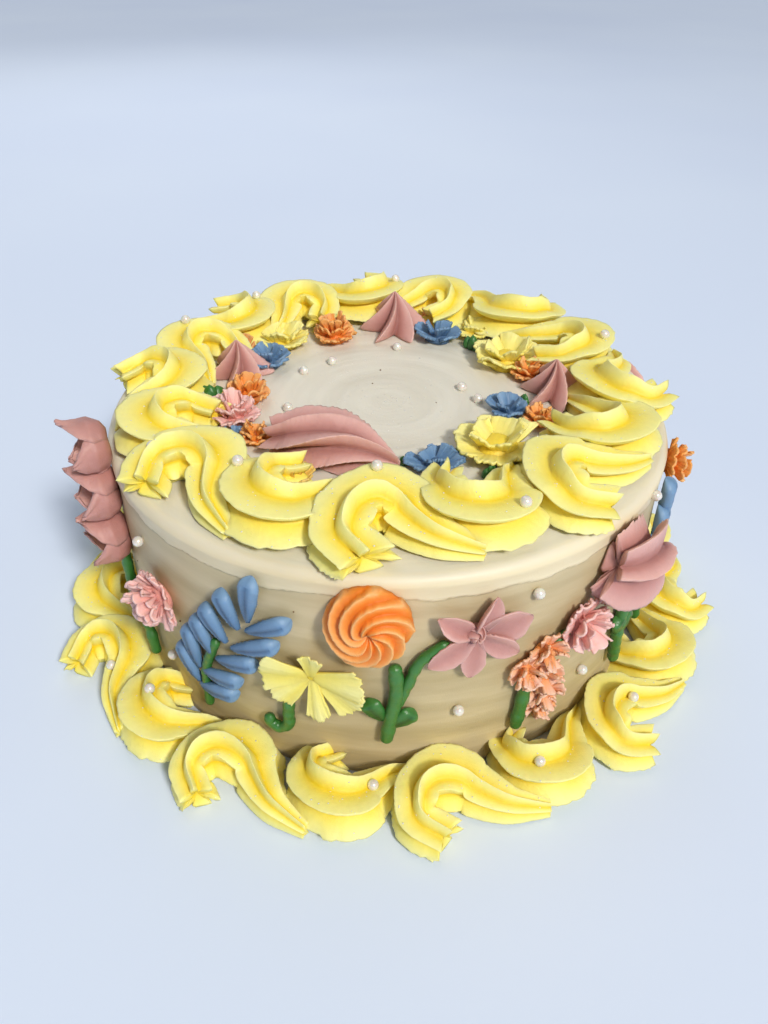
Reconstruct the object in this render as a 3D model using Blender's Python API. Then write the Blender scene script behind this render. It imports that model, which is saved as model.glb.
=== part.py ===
"""Round buttercream cake with piped scroll borders, piped flowers on stems and sugar pearls.

Sizes are in millimetres until the last step, which turns every solid into metres.
The cake stands on z = 0 with its centre on the Z axis; the front faces -Y.
Angles are in degrees, anticlockwise from +X seen from above, so the front is at -90.
"""
import math

import bmesh
import bpy
import numpy as np
from mathutils.bvhtree import BVHTree

# Driving sizes
CAKE_RADIUS = 103.0
CAKE_HEIGHT = 89.0
EDGE_ROUNDING = 3.0
GAP = 0.45                   # clear space kept between two solids
PEARL_RADIUS = 1.9
FLAT_ANGLE = 4.0             # piped faces closer to one plane than this become one
CUT_FLAT_ANGLE = 0.6         # the same after a cut, which must keep its clear space
TOP_FACE_SHARE = 0.275       # share of the top border's faces that is kept after its scrolls are united
BOTTOM_FACE_SHARE = 0.235    # the same for the bottom border
CLUSTER_FACE_SHARE = 0.52    # the same for a fern or a row of lumps
FOOT = (0.0, 0.0, 0.0)

# Top border: scrolls piped one over the other along a ring, the first one facing the viewer
TOP_RING_RADIUS = 83.0
TOP_ANGLES = (-91.0, -68.5, -45.0, -22.0, 1.0, 26.0, 51.0, 76.0, 98.0, 119.0, 139.0, 159.0, 179.0, 201.5, 223.0, 246.0)
TOP_WIDTH = 36.0
TOP_CURL_HEIGHT = 17.5
FRONT_SHIFT = 3.0            # the scrolls at the front lie further in
FRONT_GROWTH = 5.0           # and are wider

# Bottom border, against the wall
BOTTOM_CURLS = 20
BOTTOM_ANGLES = tuple(-97.5 + 360.0 * k / BOTTOM_CURLS for k in range(BOTTOM_CURLS))
BOTTOM_RING_RADIUS = CAKE_RADIUS + 14.0
BOTTOM_WIDTH = 29.0
BOTTOM_CURL_HEIGHT = 21.0

ROPE_SHARE = 0.245           # a scroll's rope radius, of its width
CURL_SHARE = 0.29            # half the length of a scroll's arch, of the distance between two scrolls
TAIL_SHARE = 0.51            # how far its tail reaches past the arch
SCROLL_MIDDLE = 0.45         # height of a scroll's core, of its full height
SCROLL_GROOVE = 0.58         # depth of the hollows between its ridges

# A shell's half width and height along its length, as shares of the widest and the highest
SHELL_MARKS = (0.0, 0.18, 0.42, 0.65, 0.85, 1.0)
SHELL_WIDTHS = (0.55, 0.90, 1.0, 0.78, 0.36, 0.10)
SHELL_HEIGHTS = (0.62, 0.92, 1.0, 0.92, 0.66, 0.45)

WALL_FACE = CAKE_RADIUS + GAP
TOP_FACE = CAKE_HEIGHT + GAP

COLOURS = {
    "cream": (0.78, 0.71, 0.60),
    "lemon": (0.90, 0.80, 0.22),
    "mauve": (0.52, 0.27, 0.29),
    "pink": (0.83, 0.40, 0.38),
    "orange": (0.87, 0.36, 0.08),
    "peach": (0.88, 0.45, 0.27),
    "blue": (0.10, 0.22, 0.45),
    "leaf_green": (0.03, 0.19, 0.05),
}


def material(colour_name):
    """One icing material per colour."""
    name = "icing_" + colour_name
    found = bpy.data.materials.get(name)
    if found:
        return found
    made = bpy.data.materials.new(name)
    made.use_nodes = True
    shader = made.node_tree.nodes["Principled BSDF"]
    shader.inputs["Base Color"].default_value = (*COLOURS[colour_name], 1.0)
    shader.inputs["Roughness"].default_value = 0.5
    return made


def solid(name, points, faces, colour_name):
    """A mesh object from points and faces, its normals facing out."""
    mesh = bpy.data.meshes.new(name)
    mesh.from_pydata([tuple(p) for p in points], [], [tuple(f) for f in faces])
    work = bmesh.new()
    work.from_mesh(mesh)
    bmesh.ops.recalc_face_normals(work, faces=work.faces)
    bmesh.ops.triangulate(work, faces=work.faces)
    work.to_mesh(mesh)
    work.free()
    made = bpy.data.objects.new(name, mesh)
    made.data.materials.append(material(colour_name))
    bpy.context.scene.collection.objects.link(made)
    return made


def apply_boolean(target, operation, tool=None, group=None, flat_angle=CUT_FLAT_ANGLE, solver="MANIFOLD"):
    """Runs one Boolean on the target and keeps its result as the target's mesh."""
    modifier = target.modifiers.new("joined", "BOOLEAN")
    modifier.operation = operation
    modifier.solver = solver
    modifier.use_self = solver == "EXACT"
    if group:
        modifier.operand_type = "COLLECTION"
        modifier.collection = group
    else:
        modifier.object = tool
    keep_modifiers(target)
    keep_largest(target, flat_angle)


def keep_modifiers(target):
    """Makes the result of the modifiers the object's own mesh, in the object's one colour."""
    icing = target.data.materials[0]
    graph = bpy.context.evaluated_depsgraph_get()
    result = bpy.data.meshes.new_from_object(target.evaluated_get(graph))
    target.modifiers.clear()
    target.data = result
    result.materials.clear()
    result.materials.append(icing)
    result.polygons.foreach_set("material_index", [0] * len(result.polygons))


def keep_largest(target, flat_angle):
    """Keeps only the largest connected piece and dissolves needless edges left by the Boolean."""
    work = bmesh.new()
    work.from_mesh(target.data)
    bmesh.ops.dissolve_limit(work, angle_limit=math.radians(flat_angle), verts=work.verts, edges=work.edges)
    bmesh.ops.triangulate(work, faces=work.faces)
    unseen = set(work.verts)
    pieces = []
    while unseen:
        stack = [unseen.pop()]
        piece = list(stack)
        while stack:
            for edge in stack.pop().link_edges:
                for vertex in edge.verts:
                    if vertex in unseen:
                        unseen.remove(vertex)
                        stack.append(vertex)
                        piece.append(vertex)
        pieces.append(piece)
    pieces.sort(key=len)
    for piece in pieces[:-1]:
        bmesh.ops.delete(work, geom=piece, context="VERTS")
    work.to_mesh(target.data)
    work.free()


def joined(name, parts):
    """Unites several overlapping solids into one."""
    target = parts[0]
    target.name = name
    if len(parts) > 1:
        group = bpy.data.collections.new(name + "_parts")
        for part in parts[1:]:
            group.objects.link(part)
        apply_boolean(target, "UNION", group=group, flat_angle=CUT_FLAT_ANGLE if name == "cake" else FLAT_ANGLE)
        for part in parts[1:]:
            bpy.data.objects.remove(part)
        bpy.data.collections.remove(group)
    return target


def thinned(item, share):
    """Keeps this share of the faces of a solid."""
    modifier = item.modifiers.new("fewer_faces", "DECIMATE")
    modifier.ratio = share
    keep_modifiers(item)
    return item


def grown_copy(source, by):
    """A copy of a solid with every face moved out, used to cut clear space around it."""
    copy = source.copy()
    copy.data = source.data.copy()
    bpy.context.scene.collection.objects.link(copy)
    work = bmesh.new()
    work.from_mesh(copy.data)
    work.normal_update()
    moves = [v.normal * (min(v.calc_shell_factor(), 2.0) * by) for v in work.verts]
    for vertex, move in zip(work.verts, moves):
        vertex.co += move
    work.to_mesh(copy.data)
    work.free()
    return copy


def corners(item):
    points = np.array([v.co[:] for v in item.data.vertices])
    return points.min(0), points.max(0)


def near(first, second):
    """True where the boxes of two solids come closer than the gap."""
    low_a, high_a = corners(first)
    low_b, high_b = corners(second)
    return bool(np.all(low_a - 2 * GAP < high_b) and np.all(low_b - 2 * GAP < high_a))


def trimmed(piece, others):
    """Cuts the piece back where it would touch solids that are already there."""
    for other in others:
        if near(piece, other):
            # The grown copy can fold over itself in a narrow hollow, so the solid itself cuts as well
            for grown_by, flat_angle, solver in ((GAP, CUT_FLAT_ANGLE, "MANIFOLD"), (0.0, 0.01, "EXACT")):
                tool = grown_copy(other, grown_by)
                apply_boolean(piece, "DIFFERENCE", tool=tool, flat_angle=flat_angle, solver=solver)
                bpy.data.objects.remove(tool)
    return piece


# Places: each turns points piped on a flat sheet (x, y, height) into points on the cake

def on_wall(angle, height, turn=0.0):
    """x runs to the right along the wall, y up, the third value away from the wall."""
    def place(points):
        points = np.asarray(points, float)
        c, s = math.cos(math.radians(turn)), math.sin(math.radians(turn))
        x = points[:, 0] * c - points[:, 1] * s
        y = points[:, 0] * s + points[:, 1] * c
        around = math.radians(angle) + x / CAKE_RADIUS
        out = WALL_FACE + points[:, 2]
        return np.stack([out * np.cos(around), out * np.sin(around), height + y], 1)
    return place


def on_top(angle, radius, turn=0.0):
    """x runs anticlockwise, y towards the centre, the third value up."""
    def place(points):
        points = np.asarray(points, float)
        c, s = math.cos(math.radians(turn)), math.sin(math.radians(turn))
        x = points[:, 0] * c - points[:, 1] * s
        y = points[:, 0] * s + points[:, 1] * c
        around = math.radians(angle)
        inward = np.array([-math.cos(around), -math.sin(around)])
        along = np.array([-math.sin(around), math.cos(around)])
        centre = -inward * radius
        flat = centre + x[:, None] * along + y[:, None] * inward
        return np.column_stack([flat, TOP_FACE + points[:, 2]])
    return place


def on_ring(angle, ring_radius, base):
    """x bends around the ring, y towards the centre, the third value up."""
    def place(points):
        points = np.asarray(points, float)
        around = math.radians(angle) + points[:, 0] / ring_radius
        out = ring_radius - points[:, 1]
        return np.stack([out * np.cos(around), out * np.sin(around), base + points[:, 2]], 1)
    return place


# Piped shapes on a flat sheet

def ridged_outline(ridges, groove):
    """Outline of a star nozzle: sharp ridges at radius 1, hollow grooves between them."""
    outline = []
    for k in range(2 * ridges):
        radius = 1.0 if k % 2 == 0 else groove
        turn = math.pi * k / ridges
        outline.append((radius * math.sin(turn), radius * math.cos(turn)))
    return np.array(outline)


def rope(path, radii, outline, flatten=1.0, nose=0.3):
    """Sweeps an outline along a path; both ends close in a point. Height is the third value."""
    path = np.asarray(path, float)
    radii = np.asarray(radii, float)
    ahead = np.gradient(path, axis=0)
    length = np.linalg.norm(ahead, axis=1, keepdims=True)
    ahead = ahead / length
    side = np.cross(ahead, [0.0, 0.0, 1.0])
    side = side / np.linalg.norm(side, axis=1, keepdims=True)
    lift = np.cross(side, ahead)
    heading = np.unwrap(np.arctan2(ahead[:, 1], ahead[:, 0]))
    bend = np.gradient(heading) / length[:, 0]
    points = []
    for i in range(len(path)):
        across = outline[:, 0] * radii[i]
        if abs(bend[i]) > 1e-6:
            # The inside of a tight curl may not cross itself
            limit = 0.85 / abs(bend[i])
            across = np.maximum(across, -limit) if bend[i] > 0 else np.minimum(across, limit)
        up = outline[:, 1] * radii[i] * flatten
        points.append(path[i] + across[:, None] * side[i] + up[:, None] * lift[i])
    start = path[0] - ahead[0] * radii[0] * nose
    end = path[-1] + ahead[-1] * radii[-1] * nose
    return closed_stack(points, start, end)


def curl(width, half_length, tail_length, rope_radius, height, mirror):
    """One scroll: a leg that starts in a star, an arch and a tail that runs under the next scroll.

    Gives its middle line and, at each point, its reach on the outer side, on the inner side and upwards.
    """
    flat = [(-0.40 * half_length, -0.40 * width), (-1.0 * half_length, -0.22 * width)]
    for number in range(6):
        turn = math.radians(180.0 - 30.0 * number)
        flat.append((half_length * math.cos(turn), (0.245 * math.sin(turn) - 0.10) * width))
    for share in (0.36, 0.68, 1.0):
        flat.append((half_length + tail_length * share, -(0.10 + 0.22 * share) * width))
    flat = np.array(flat)
    flat[:, 1] = mirror * (flat[:, 1] - 0.09 * width)
    along = np.linspace(0.0, 1.0, len(flat))
    outer = rope_radius * np.interp(along, [0.0, 0.2, 0.5, 0.6, 0.8, 1.0], [0.85, 1.15, 1.85, 1.75, 0.85, 0.30])
    inner = rope_radius * np.interp(along, [0.0, 0.5, 0.7, 0.8, 1.0], [0.85, 1.05, 0.90, 0.60, 0.25])
    top = height * np.interp(along, [0.0, 0.2, 0.45, 0.7, 1.0], [0.62, 0.92, 1.0, 0.72, 0.30])
    return flat, outer, inner, top


def scroll(flat, outer, inner, top, mirror, ridges, twist=(12.0, -18.0)):
    """A scroll piped with a star nozzle, its foot spread on the cake; x, y and the height above the cake."""
    ahead = np.gradient(flat, axis=0)
    length = np.linalg.norm(ahead, axis=1, keepdims=True)
    ahead = ahead / length
    side = np.column_stack([ahead[:, 1], -ahead[:, 0]])
    heading = np.unwrap(np.arctan2(ahead[:, 1], ahead[:, 0]))
    bend = np.abs(np.gradient(heading) / length[:, 0])
    share = np.where(np.arange(2 * ridges) % 2 == 0, 1.0, SCROLL_GROOVE)
    swing = np.radians(-mirror * np.linspace(twist[0], twist[1], len(flat)))
    rings = []
    for i, place in enumerate(flat):
        turn = math.pi * np.arange(2 * ridges) / ridges + swing[i]
        sideways, upwards = np.sin(turn), np.cos(turn)
        spread = np.sign(sideways) * np.abs(sideways) ** np.where(upwards > 0, 1.2, 0.35)
        limit = 0.96 / max(bend[i], 1e-6)
        inward = limit * np.tanh(share * np.abs(spread) * inner[i] / limit)
        across = np.where(sideways * -mirror > 0, share * spread * outer[i], np.sign(sideways) * inward)
        level = top[i] * (SCROLL_MIDDLE + (1.0 - SCROLL_MIDDLE) * share * upwards)
        rings.append(np.column_stack([place + across[:, None] * side[i], level]))
    start = (*(flat[0] - ahead[0] * 0.25 * inner[0]), SCROLL_MIDDLE * top[0])
    end = (*(flat[-1] + ahead[-1] * 0.3 * inner[-1]), SCROLL_MIDDLE * top[-1])
    return closed_stack(rings, start, end)


def border(name, angles, ring_radius, width, base, height, first_mirror, ridges, share):
    """A ring of scrolls, each piped over the tail of the one before; they grow towards the front."""
    parts = []
    for k, angle in enumerate(angles):
        mirror = first_mirror * (1.0 if k % 2 == 0 else -1.0)
        front = max(0.0, -math.sin(math.radians(angle))) ** 4 if name == "top_border" else 0.0
        radius = ring_radius - FRONT_SHIFT * front
        size = width + FRONT_GROWTH * front
        gap = (angles[(k + 1) % len(angles)] - angle) % 360.0
        pitch = math.radians(gap) * radius
        line = curl(size, CURL_SHARE * pitch, TAIL_SHARE * pitch, ROPE_SHARE * size, height, mirror)
        points, faces = scroll(*line, mirror, ridges)
        parts.append(solid(name, on_ring(angle, radius, base)(points), faces, "lemon"))
    return thinned(joined(name, parts), share)


def shell(length, reach, height, twist, bow=0.0):
    """A fat ridged shell along x that is drawn out into a tip; it bows sideways by a part of its length."""
    along = np.linspace(0.0, 1.0, 8)
    flat = np.column_stack([(along - 0.45) * length, bow * length * np.sin(math.pi * along)])
    width = reach * np.interp(along, SHELL_MARKS, SHELL_WIDTHS)
    top = height * np.interp(along, SHELL_MARKS, SHELL_HEIGHTS)
    points, faces = scroll(flat, width, width, top, 1.0, 6, twist)
    points[:, 2] = np.maximum(points[:, 2], 0.0)
    return points, faces


def cup(tips, radius, height, lean):
    """A hollow flower that opens away from what it is piped on, its pointed tips leaning along y."""
    rings = []
    for rise, share in ((0.0, 0.50), (0.22, 0.92), (0.55, 1.0)):
        outline = ridged_outline(tips, 0.86) * radius * share
        rings.append(np.column_stack([outline[:, 0], outline[:, 1] + lean * rise ** 2,
                                      np.full(len(outline), rise * height)]))
    outline = ridged_outline(tips, 0.55) * radius * 0.86
    rise = np.where(np.arange(2 * tips) % 2 == 0, 1.0, 0.70)
    rings.append(np.column_stack([outline[:, 0], outline[:, 1] + lean * rise ** 2, rise * height]))
    return closed_stack(rings, FOOT, (0.0, 0.2 * lean, 0.40 * height))


def drop(ridges, radius, height, groove=0.62, twist=25.0, stretch=1.0):
    """A star-shaped drop pulled up to a point."""
    levels = [(0.0, 0.86), (0.16, 1.0), (0.42, 0.80), (0.72, 0.42), (0.93, 0.12)]
    outline = ridged_outline(ridges, groove)
    points = []
    for rise, share in levels:
        turn = math.radians(twist * rise)
        c, s = math.cos(turn), math.sin(turn)
        ring = outline * radius * share
        x = (ring[:, 0] * c - ring[:, 1] * s) * stretch
        y = ring[:, 0] * s + ring[:, 1] * c
        points.append(np.column_stack([x, y, np.full(len(ring), rise * height)]))
    return closed_stack(points, FOOT, (0.0, 0.0, height))


def closed_stack(rings, foot, tip):
    """Closes a stack of rings with a point before the first ring and one after the last."""
    count = len(rings[0])
    levels = len(rings)
    points = np.vstack(rings + [np.array([foot, tip])])
    faces = []
    for i in range(levels - 1):
        for k in range(count):
            a = i * count + k
            b = i * count + (k + 1) % count
            faces.append((a, b, b + count, a + count))
    last = (levels - 1) * count
    for k in range(count):
        faces.append(((k + 1) % count, k, len(points) - 2))
        faces.append((last + k, last + (k + 1) % count, len(points) - 1))
    return points, faces


def ruffle(waves, radius, height, depth=0.80, stretch=1.0):
    """A domed ball of small frills; the frills shift from level to level."""
    levels = [(0.0, 0.80, 0.0), (0.30, 1.0, 0.0), (0.62, 0.86, 0.5), (0.90, 0.52, 0.0)]
    points = []
    for rise, share, shift in levels:
        ring = []
        for k in range(waves * 2):
            turn = math.pi * (k + shift) / waves
            out = radius * share * (1.0 if k % 2 == 0 else depth)
            ring.append((out * math.cos(turn) * stretch, out * math.sin(turn), rise * height))
        points.append(np.array(ring))
    return closed_stack(points, FOOT, (0.0, 0.0, height))


def rosette(ridges, radius, height):
    """A flat swirl whose ridges spiral into an eye."""
    levels = [(0.0, 0.90, 0.0), (0.42, 1.0, 10.0), (0.80, 0.72, 40.0), (1.0, 0.40, 80.0), (0.78, 0.12, 120.0)]
    outline = ridged_outline(ridges, 0.80)
    points = []
    for rise, share, degrees in levels:
        turn = math.radians(degrees)
        c, s = math.cos(turn), math.sin(turn)
        ring = outline * radius * share
        points.append(np.column_stack([ring[:, 0] * c - ring[:, 1] * s, ring[:, 0] * s + ring[:, 1] * c,
                                       np.full(len(ring), rise * height)]))
    return closed_stack(points, FOOT, (0.0, 0.0, 0.7 * height))


def petal_star(petals, radius, height, petal_width=0.36, cup=0.5):
    """Separate petals round a middle, each a ridge that widens towards its tip."""
    outline = []
    for k in range(petals):
        middle = 2.0 * math.pi * k / petals
        half = math.pi / petals
        outline.append((0.30 * radius, middle - half))
        outline.append((0.92 * radius, middle - petal_width))
        outline.append((0.92 * radius, middle + petal_width))
    rings = []
    for share, rise in ((1.0, 0.0), (1.0, cup), (0.62, 0.62), (0.28, 0.85)):
        ring = []
        for number, (out, turn) in enumerate(outline):
            out = max(out * share, 0.12 * radius)
            edge = 1.0 if number % 3 in (1, 2) else 0.72
            level = rise * height * (edge if share > 0.5 else 1.0)
            ring.append((out * math.sin(turn), out * math.cos(turn), level))
        rings.append(np.array(ring))
    return closed_stack(rings, FOOT, (0.0, 0.0, 0.75 * height))


def petal(length, width, thick, lift=0.0, sides=5):
    """A teardrop laid on the sheet, pointing along +y from the origin."""
    outline = np.array([(math.sin(2 * math.pi * k / sides), math.cos(2 * math.pi * k / sides)) for k in range(sides)])
    along = np.array([0.05, 0.60, 0.93])
    radii = 0.5 * width * np.array([0.50, 1.0, 0.55])
    path = np.column_stack([np.zeros(3), along * length, thick * 0.5 + lift * along])
    return rope(path, radii, outline, flatten=thick / width, nose=0.5)


def turned(points, degrees, shift=(0.0, 0.0, 0.0)):
    """Turns points on the sheet and moves them."""
    c, s = math.cos(math.radians(degrees)), math.sin(math.radians(degrees))
    x = points[:, 0] * c - points[:, 1] * s
    y = points[:, 0] * s + points[:, 1] * c
    return np.column_stack([x, y, points[:, 2]]) + np.array(shift)


def stem_path(points, steps):
    """A smooth line through a few points of the sheet."""
    points = np.asarray(points, float)
    marks = np.linspace(0.0, 1.0, len(points))
    along = np.linspace(0.0, 1.0, steps)
    degree = min(2, len(points) - 1)
    return np.column_stack([np.polyval(np.polyfit(marks, points[:, i], degree), along) for i in (0, 1)])


def stem(points, thick, steps=6):
    """A piped line on the wall, slightly uneven in thickness."""
    flat = stem_path(points, steps)
    beads = 1.0 + 0.12 * np.cos(np.arange(steps) * 2.4)
    radii = 0.5 * thick * beads
    path = np.column_stack([flat, np.full(steps, 0.46 * thick)])
    sides = 5
    outline = np.array([(math.sin(2 * math.pi * k / sides), math.cos(2 * math.pi * k / sides)) for k in range(sides)])
    return rope(path, radii, outline)


def pearl(centre):
    """A small sugar ball."""
    rings = []
    sides = 5
    for tilt in (-28.0, 28.0):
        out = PEARL_RADIUS * math.cos(math.radians(tilt))
        level = PEARL_RADIUS * math.sin(math.radians(tilt))
        rings.append(np.array([(out * math.cos(2 * math.pi * k / sides), out * math.sin(2 * math.pi * k / sides), level)
                               for k in range(sides)]))
    points, faces = closed_stack(rings, (0.0, 0.0, -PEARL_RADIUS), (0.0, 0.0, PEARL_RADIUS))
    return points + np.array(centre), faces


def build_cake():
    """The iced cake: a straight wall and a top with a rounded edge."""
    segments = 56
    profile = [(CAKE_RADIUS - 1.0, 0.0), (CAKE_RADIUS, 1.0), (CAKE_RADIUS, CAKE_HEIGHT - EDGE_ROUNDING)]
    for degrees in (45.0, 90.0):
        turn = math.radians(degrees)
        profile.append((CAKE_RADIUS - EDGE_ROUNDING * (1.0 - math.cos(turn)),
                        CAKE_HEIGHT - EDGE_ROUNDING * (1.0 - math.sin(turn))))
    rings = []
    for radius, level in profile:
        rings.append(np.array([(radius * math.cos(2 * math.pi * k / segments),
                                radius * math.sin(2 * math.pi * k / segments), level) for k in range(segments)]))
    points, faces = closed_stack(rings, FOOT, (0.0, 0.0, CAKE_HEIGHT))
    return solid("cake", points, faces, "cream")


def clearance_body(bottom):
    """The space that the borders must leave free: the cake and what lies under the table top."""
    segments = 72
    radius = CAKE_RADIUS + GAP
    rings = []
    for level in (bottom, CAKE_HEIGHT + GAP):
        rings.append(np.array([(radius * math.cos(2 * math.pi * k / segments),
                                radius * math.sin(2 * math.pi * k / segments), level) for k in range(segments)]))
    points, faces = closed_stack(rings, (0.0, 0.0, bottom), (0.0, 0.0, CAKE_HEIGHT + GAP))
    return solid("clearance", points, faces, "cream")


def floor_block():
    half = 2.0 * CAKE_RADIUS
    points = [(x, y, z) for z in (-60.0, 0.0) for y in (-half, half) for x in (-half, half)]
    faces = [(0, 2, 3, 1), (4, 5, 7, 6), (0, 1, 5, 4), (2, 6, 7, 3), (0, 4, 6, 2), (1, 3, 7, 5)]
    return solid("floor", points, faces, "cream")


def polar(angle, radius, level):
    return (radius * math.cos(math.radians(angle)), radius * math.sin(math.radians(angle)), level)


def resting_place(item, angle, radius, ring_radius, sunk):
    """Centre of a pearl on a border; a place beside the border moves towards the border's middle."""
    surface = BVHTree.FromPolygons([v.co[:] for v in item.data.vertices], [p.vertices[:] for p in item.data.polygons])
    for share in (0.0, 0.2, 0.4, 0.6, 0.8, 1.0):
        out = radius + (ring_radius - radius) * share
        hit = surface.ray_cast(polar(angle, out, 400.0), (0.0, 0.0, -1.0))
        if hit[0]:
            return polar(angle, out, hit[0][2] + PEARL_RADIUS - sunk)
    return None


# Pearls: angle and radius on the borders and the top, angle and height on the wall
TOP_BORDER_PEARLS = [(-127, 78), (-146, 92), (-93, 66), (129, 92), (154, 92), (19, 91), (-64, 92), (88, 93), (52, 90)]
BOTTOM_BORDER_PEARLS = [(-135, 117), (-148, 121), (-92, 116), (-65, 120), (-42, 119), (5, 118), (60, 118), (110, 119),
                        (165, 118)]
TOP_PEARLS = [(-168, 38), (147, 40), (127, 38), (85, 44), (18, 30), (0, 34)]
WALL_PEARLS = [(-143, 70), (-137, 25), (-64, 76), (-49, 27), (-77, 32), (-31, 84), (34, 74), (78, 30), (146, 72)]


def build_borders(cake):
    top = border("top_border", TOP_ANGLES, TOP_RING_RADIUS, TOP_WIDTH, TOP_FACE, TOP_CURL_HEIGHT, 1.0, 6,
                 TOP_FACE_SHARE)
    body = clearance_body(40.0)
    apply_boolean(top, "DIFFERENCE", tool=body)
    bpy.data.objects.remove(body)
    bottom = border("bottom_border", BOTTOM_ANGLES, BOTTOM_RING_RADIUS, BOTTOM_WIDTH, 0.0, BOTTOM_CURL_HEIGHT, -1.0,
                    5, BOTTOM_FACE_SHARE)
    body = clearance_body(-30.0)
    apply_boolean(bottom, "DIFFERENCE", tool=body)
    bpy.data.objects.remove(body)
    floor = floor_block()
    apply_boolean(bottom, "DIFFERENCE", tool=floor)
    bpy.data.objects.remove(floor)
    sunk = 0.35 * PEARL_RADIUS
    for item, places, ring in ((top, TOP_BORDER_PEARLS, TOP_RING_RADIUS),
                               (bottom, BOTTOM_BORDER_PEARLS, BOTTOM_RING_RADIUS)):
        centres = [resting_place(item, angle, radius, ring, sunk) for angle, radius in places]
        joined(item.name, [item] + [solid("pearl", *pearl(centre), "lemon") for centre in centres])
    balls = [solid("pearl", *pearl(polar(a, r, CAKE_HEIGHT + PEARL_RADIUS - sunk)), "cream") for a, r in TOP_PEARLS]
    balls += [solid("pearl", *pearl(polar(a, CAKE_RADIUS + PEARL_RADIUS - sunk, h)), "cream") for a, h in WALL_PEARLS]
    joined("cake", [cake] + balls)
    return top, bottom


# Stems on the wall: name, angle, height of the start, points of the line, thickness, leaves (x, y, turn)
STEMS = [
    ("stem_tulips", -157.0, 16.0, [(0, 0), (0.5, 18), (-1, 34)], 4.2, [(2, 14, -60)]),
    ("stem_pink_left", -144.0, 16.0, [(0, 0), (-4, 14), (-7, 24)], 4.2, []),
    ("fern_stem", -126.0, 15.0, [(0, 0), (1, 18), (8, 36)], 3.4, []),
    ("stem_yellow", -109.0, 21.0, [(-2, 0), (0, 8), (2, 15)], 4.0, [(-2, 1, 80)]),
    ("stem_orange", -90.0, 21.0, [(0, 0), (1, 15), (2, 36)], 4.6, [(-3, 14, 50), (3, 10, -60)]),
    ("branch_mauve", -86.5, 46.0, [(1, 0), (4, 12), (12, 19)], 3.6, []),
    ("stem_peach", -65.5, 17.0, [(0, 0), (1, 10), (2, 22)], 4.6, []),
    ("stem_pink_right", -58.5, 52.0, [(-3, -3), (1, 0), (5, 2)], 3.4, []),
    ("stem_rosette", -37.5, 17.0, [(0, 0), (-2, 16), (-1, 34)], 4.6, [(-4, 14, 20), (2, 12, -25)]),
    ("stem_blue", -23.5, 17.0, [(0, 0), (1, 12), (0, 26)], 4.0, []),
    ("back_stem_rosette", 22.0, 17.0, [(0, 0), (3, 16), (2, 34)], 4.6, [(4, 14, -40), (-2, 12, 35)]),
    ("back_fern_stem", 58.0, 15.0, [(0, 0), (-1, 18), (-8, 36)], 3.4, []),
    ("back_stem_orange", 92.0, 17.0, [(0, 0), (-2, 16), (-1, 38)], 4.4, [(-3, 14, 50), (2, 18, -60)]),
    ("back_stem_mauve", 128.0, 17.0, [(0, 0), (2, 16), (1, 34)], 4.2, [(3, 14, -50)]),
    ("back_stem_pink", 163.0, 17.0, [(0, 0), (-2, 12), (-1, 24)], 4.0, []),
]

# Tulips on one stem: height above the lowest one's foot, radius
TULIPS = ((7.0, 10.0), (25.5, 10.0), (43.0, 9.2))
TULIP_REACH = 1.5
TULIP_LEAN = 6.0

# Flowers on the wall: name, colour, shape, angle, height, turn, size
WALL_FLOWERS = [
    ("orange_rosette", "orange", "rosette", -93.0, 73.0, 0.0, 12.5),
    ("mauve_flower", "mauve", "petals", -74.5, 66.0, 12.0, 17.0),
    ("yellow_flower", "lemon", "petals", -103.5, 47.0, 30.0, 17.5),
    ("pink_carnation_left", "pink", "ruffle", -137.0, 53.0, 0.0, 10.5),
    ("pink_carnation_right", "pink", "ruffle", -53.0, 55.0, 0.0, 9.6),
    ("mauve_rosette", "mauve", "shell", -41.5, 70.0, 22.0, 17.5),
    ("orange_flower_right", "orange", "ruffle", -14.5, 80.0, 0.0, 8.0),
    ("back_mauve_rosette", "mauve", "shell", 22.0, 67.0, 158.0, 17.0),
    ("back_yellow_flower", "lemon", "petals", 40.0, 44.0, 0.0, 16.0),
    ("back_orange_rosette", "orange", "rosette", 91.0, 69.0, 0.0, 12.5),
    ("back_mauve_flower", "mauve", "petals", 129.0, 65.0, 12.0, 17.0),
    ("back_pink_carnation", "pink", "ruffle", 162.0, 52.0, 0.0, 10.5),
]

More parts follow.
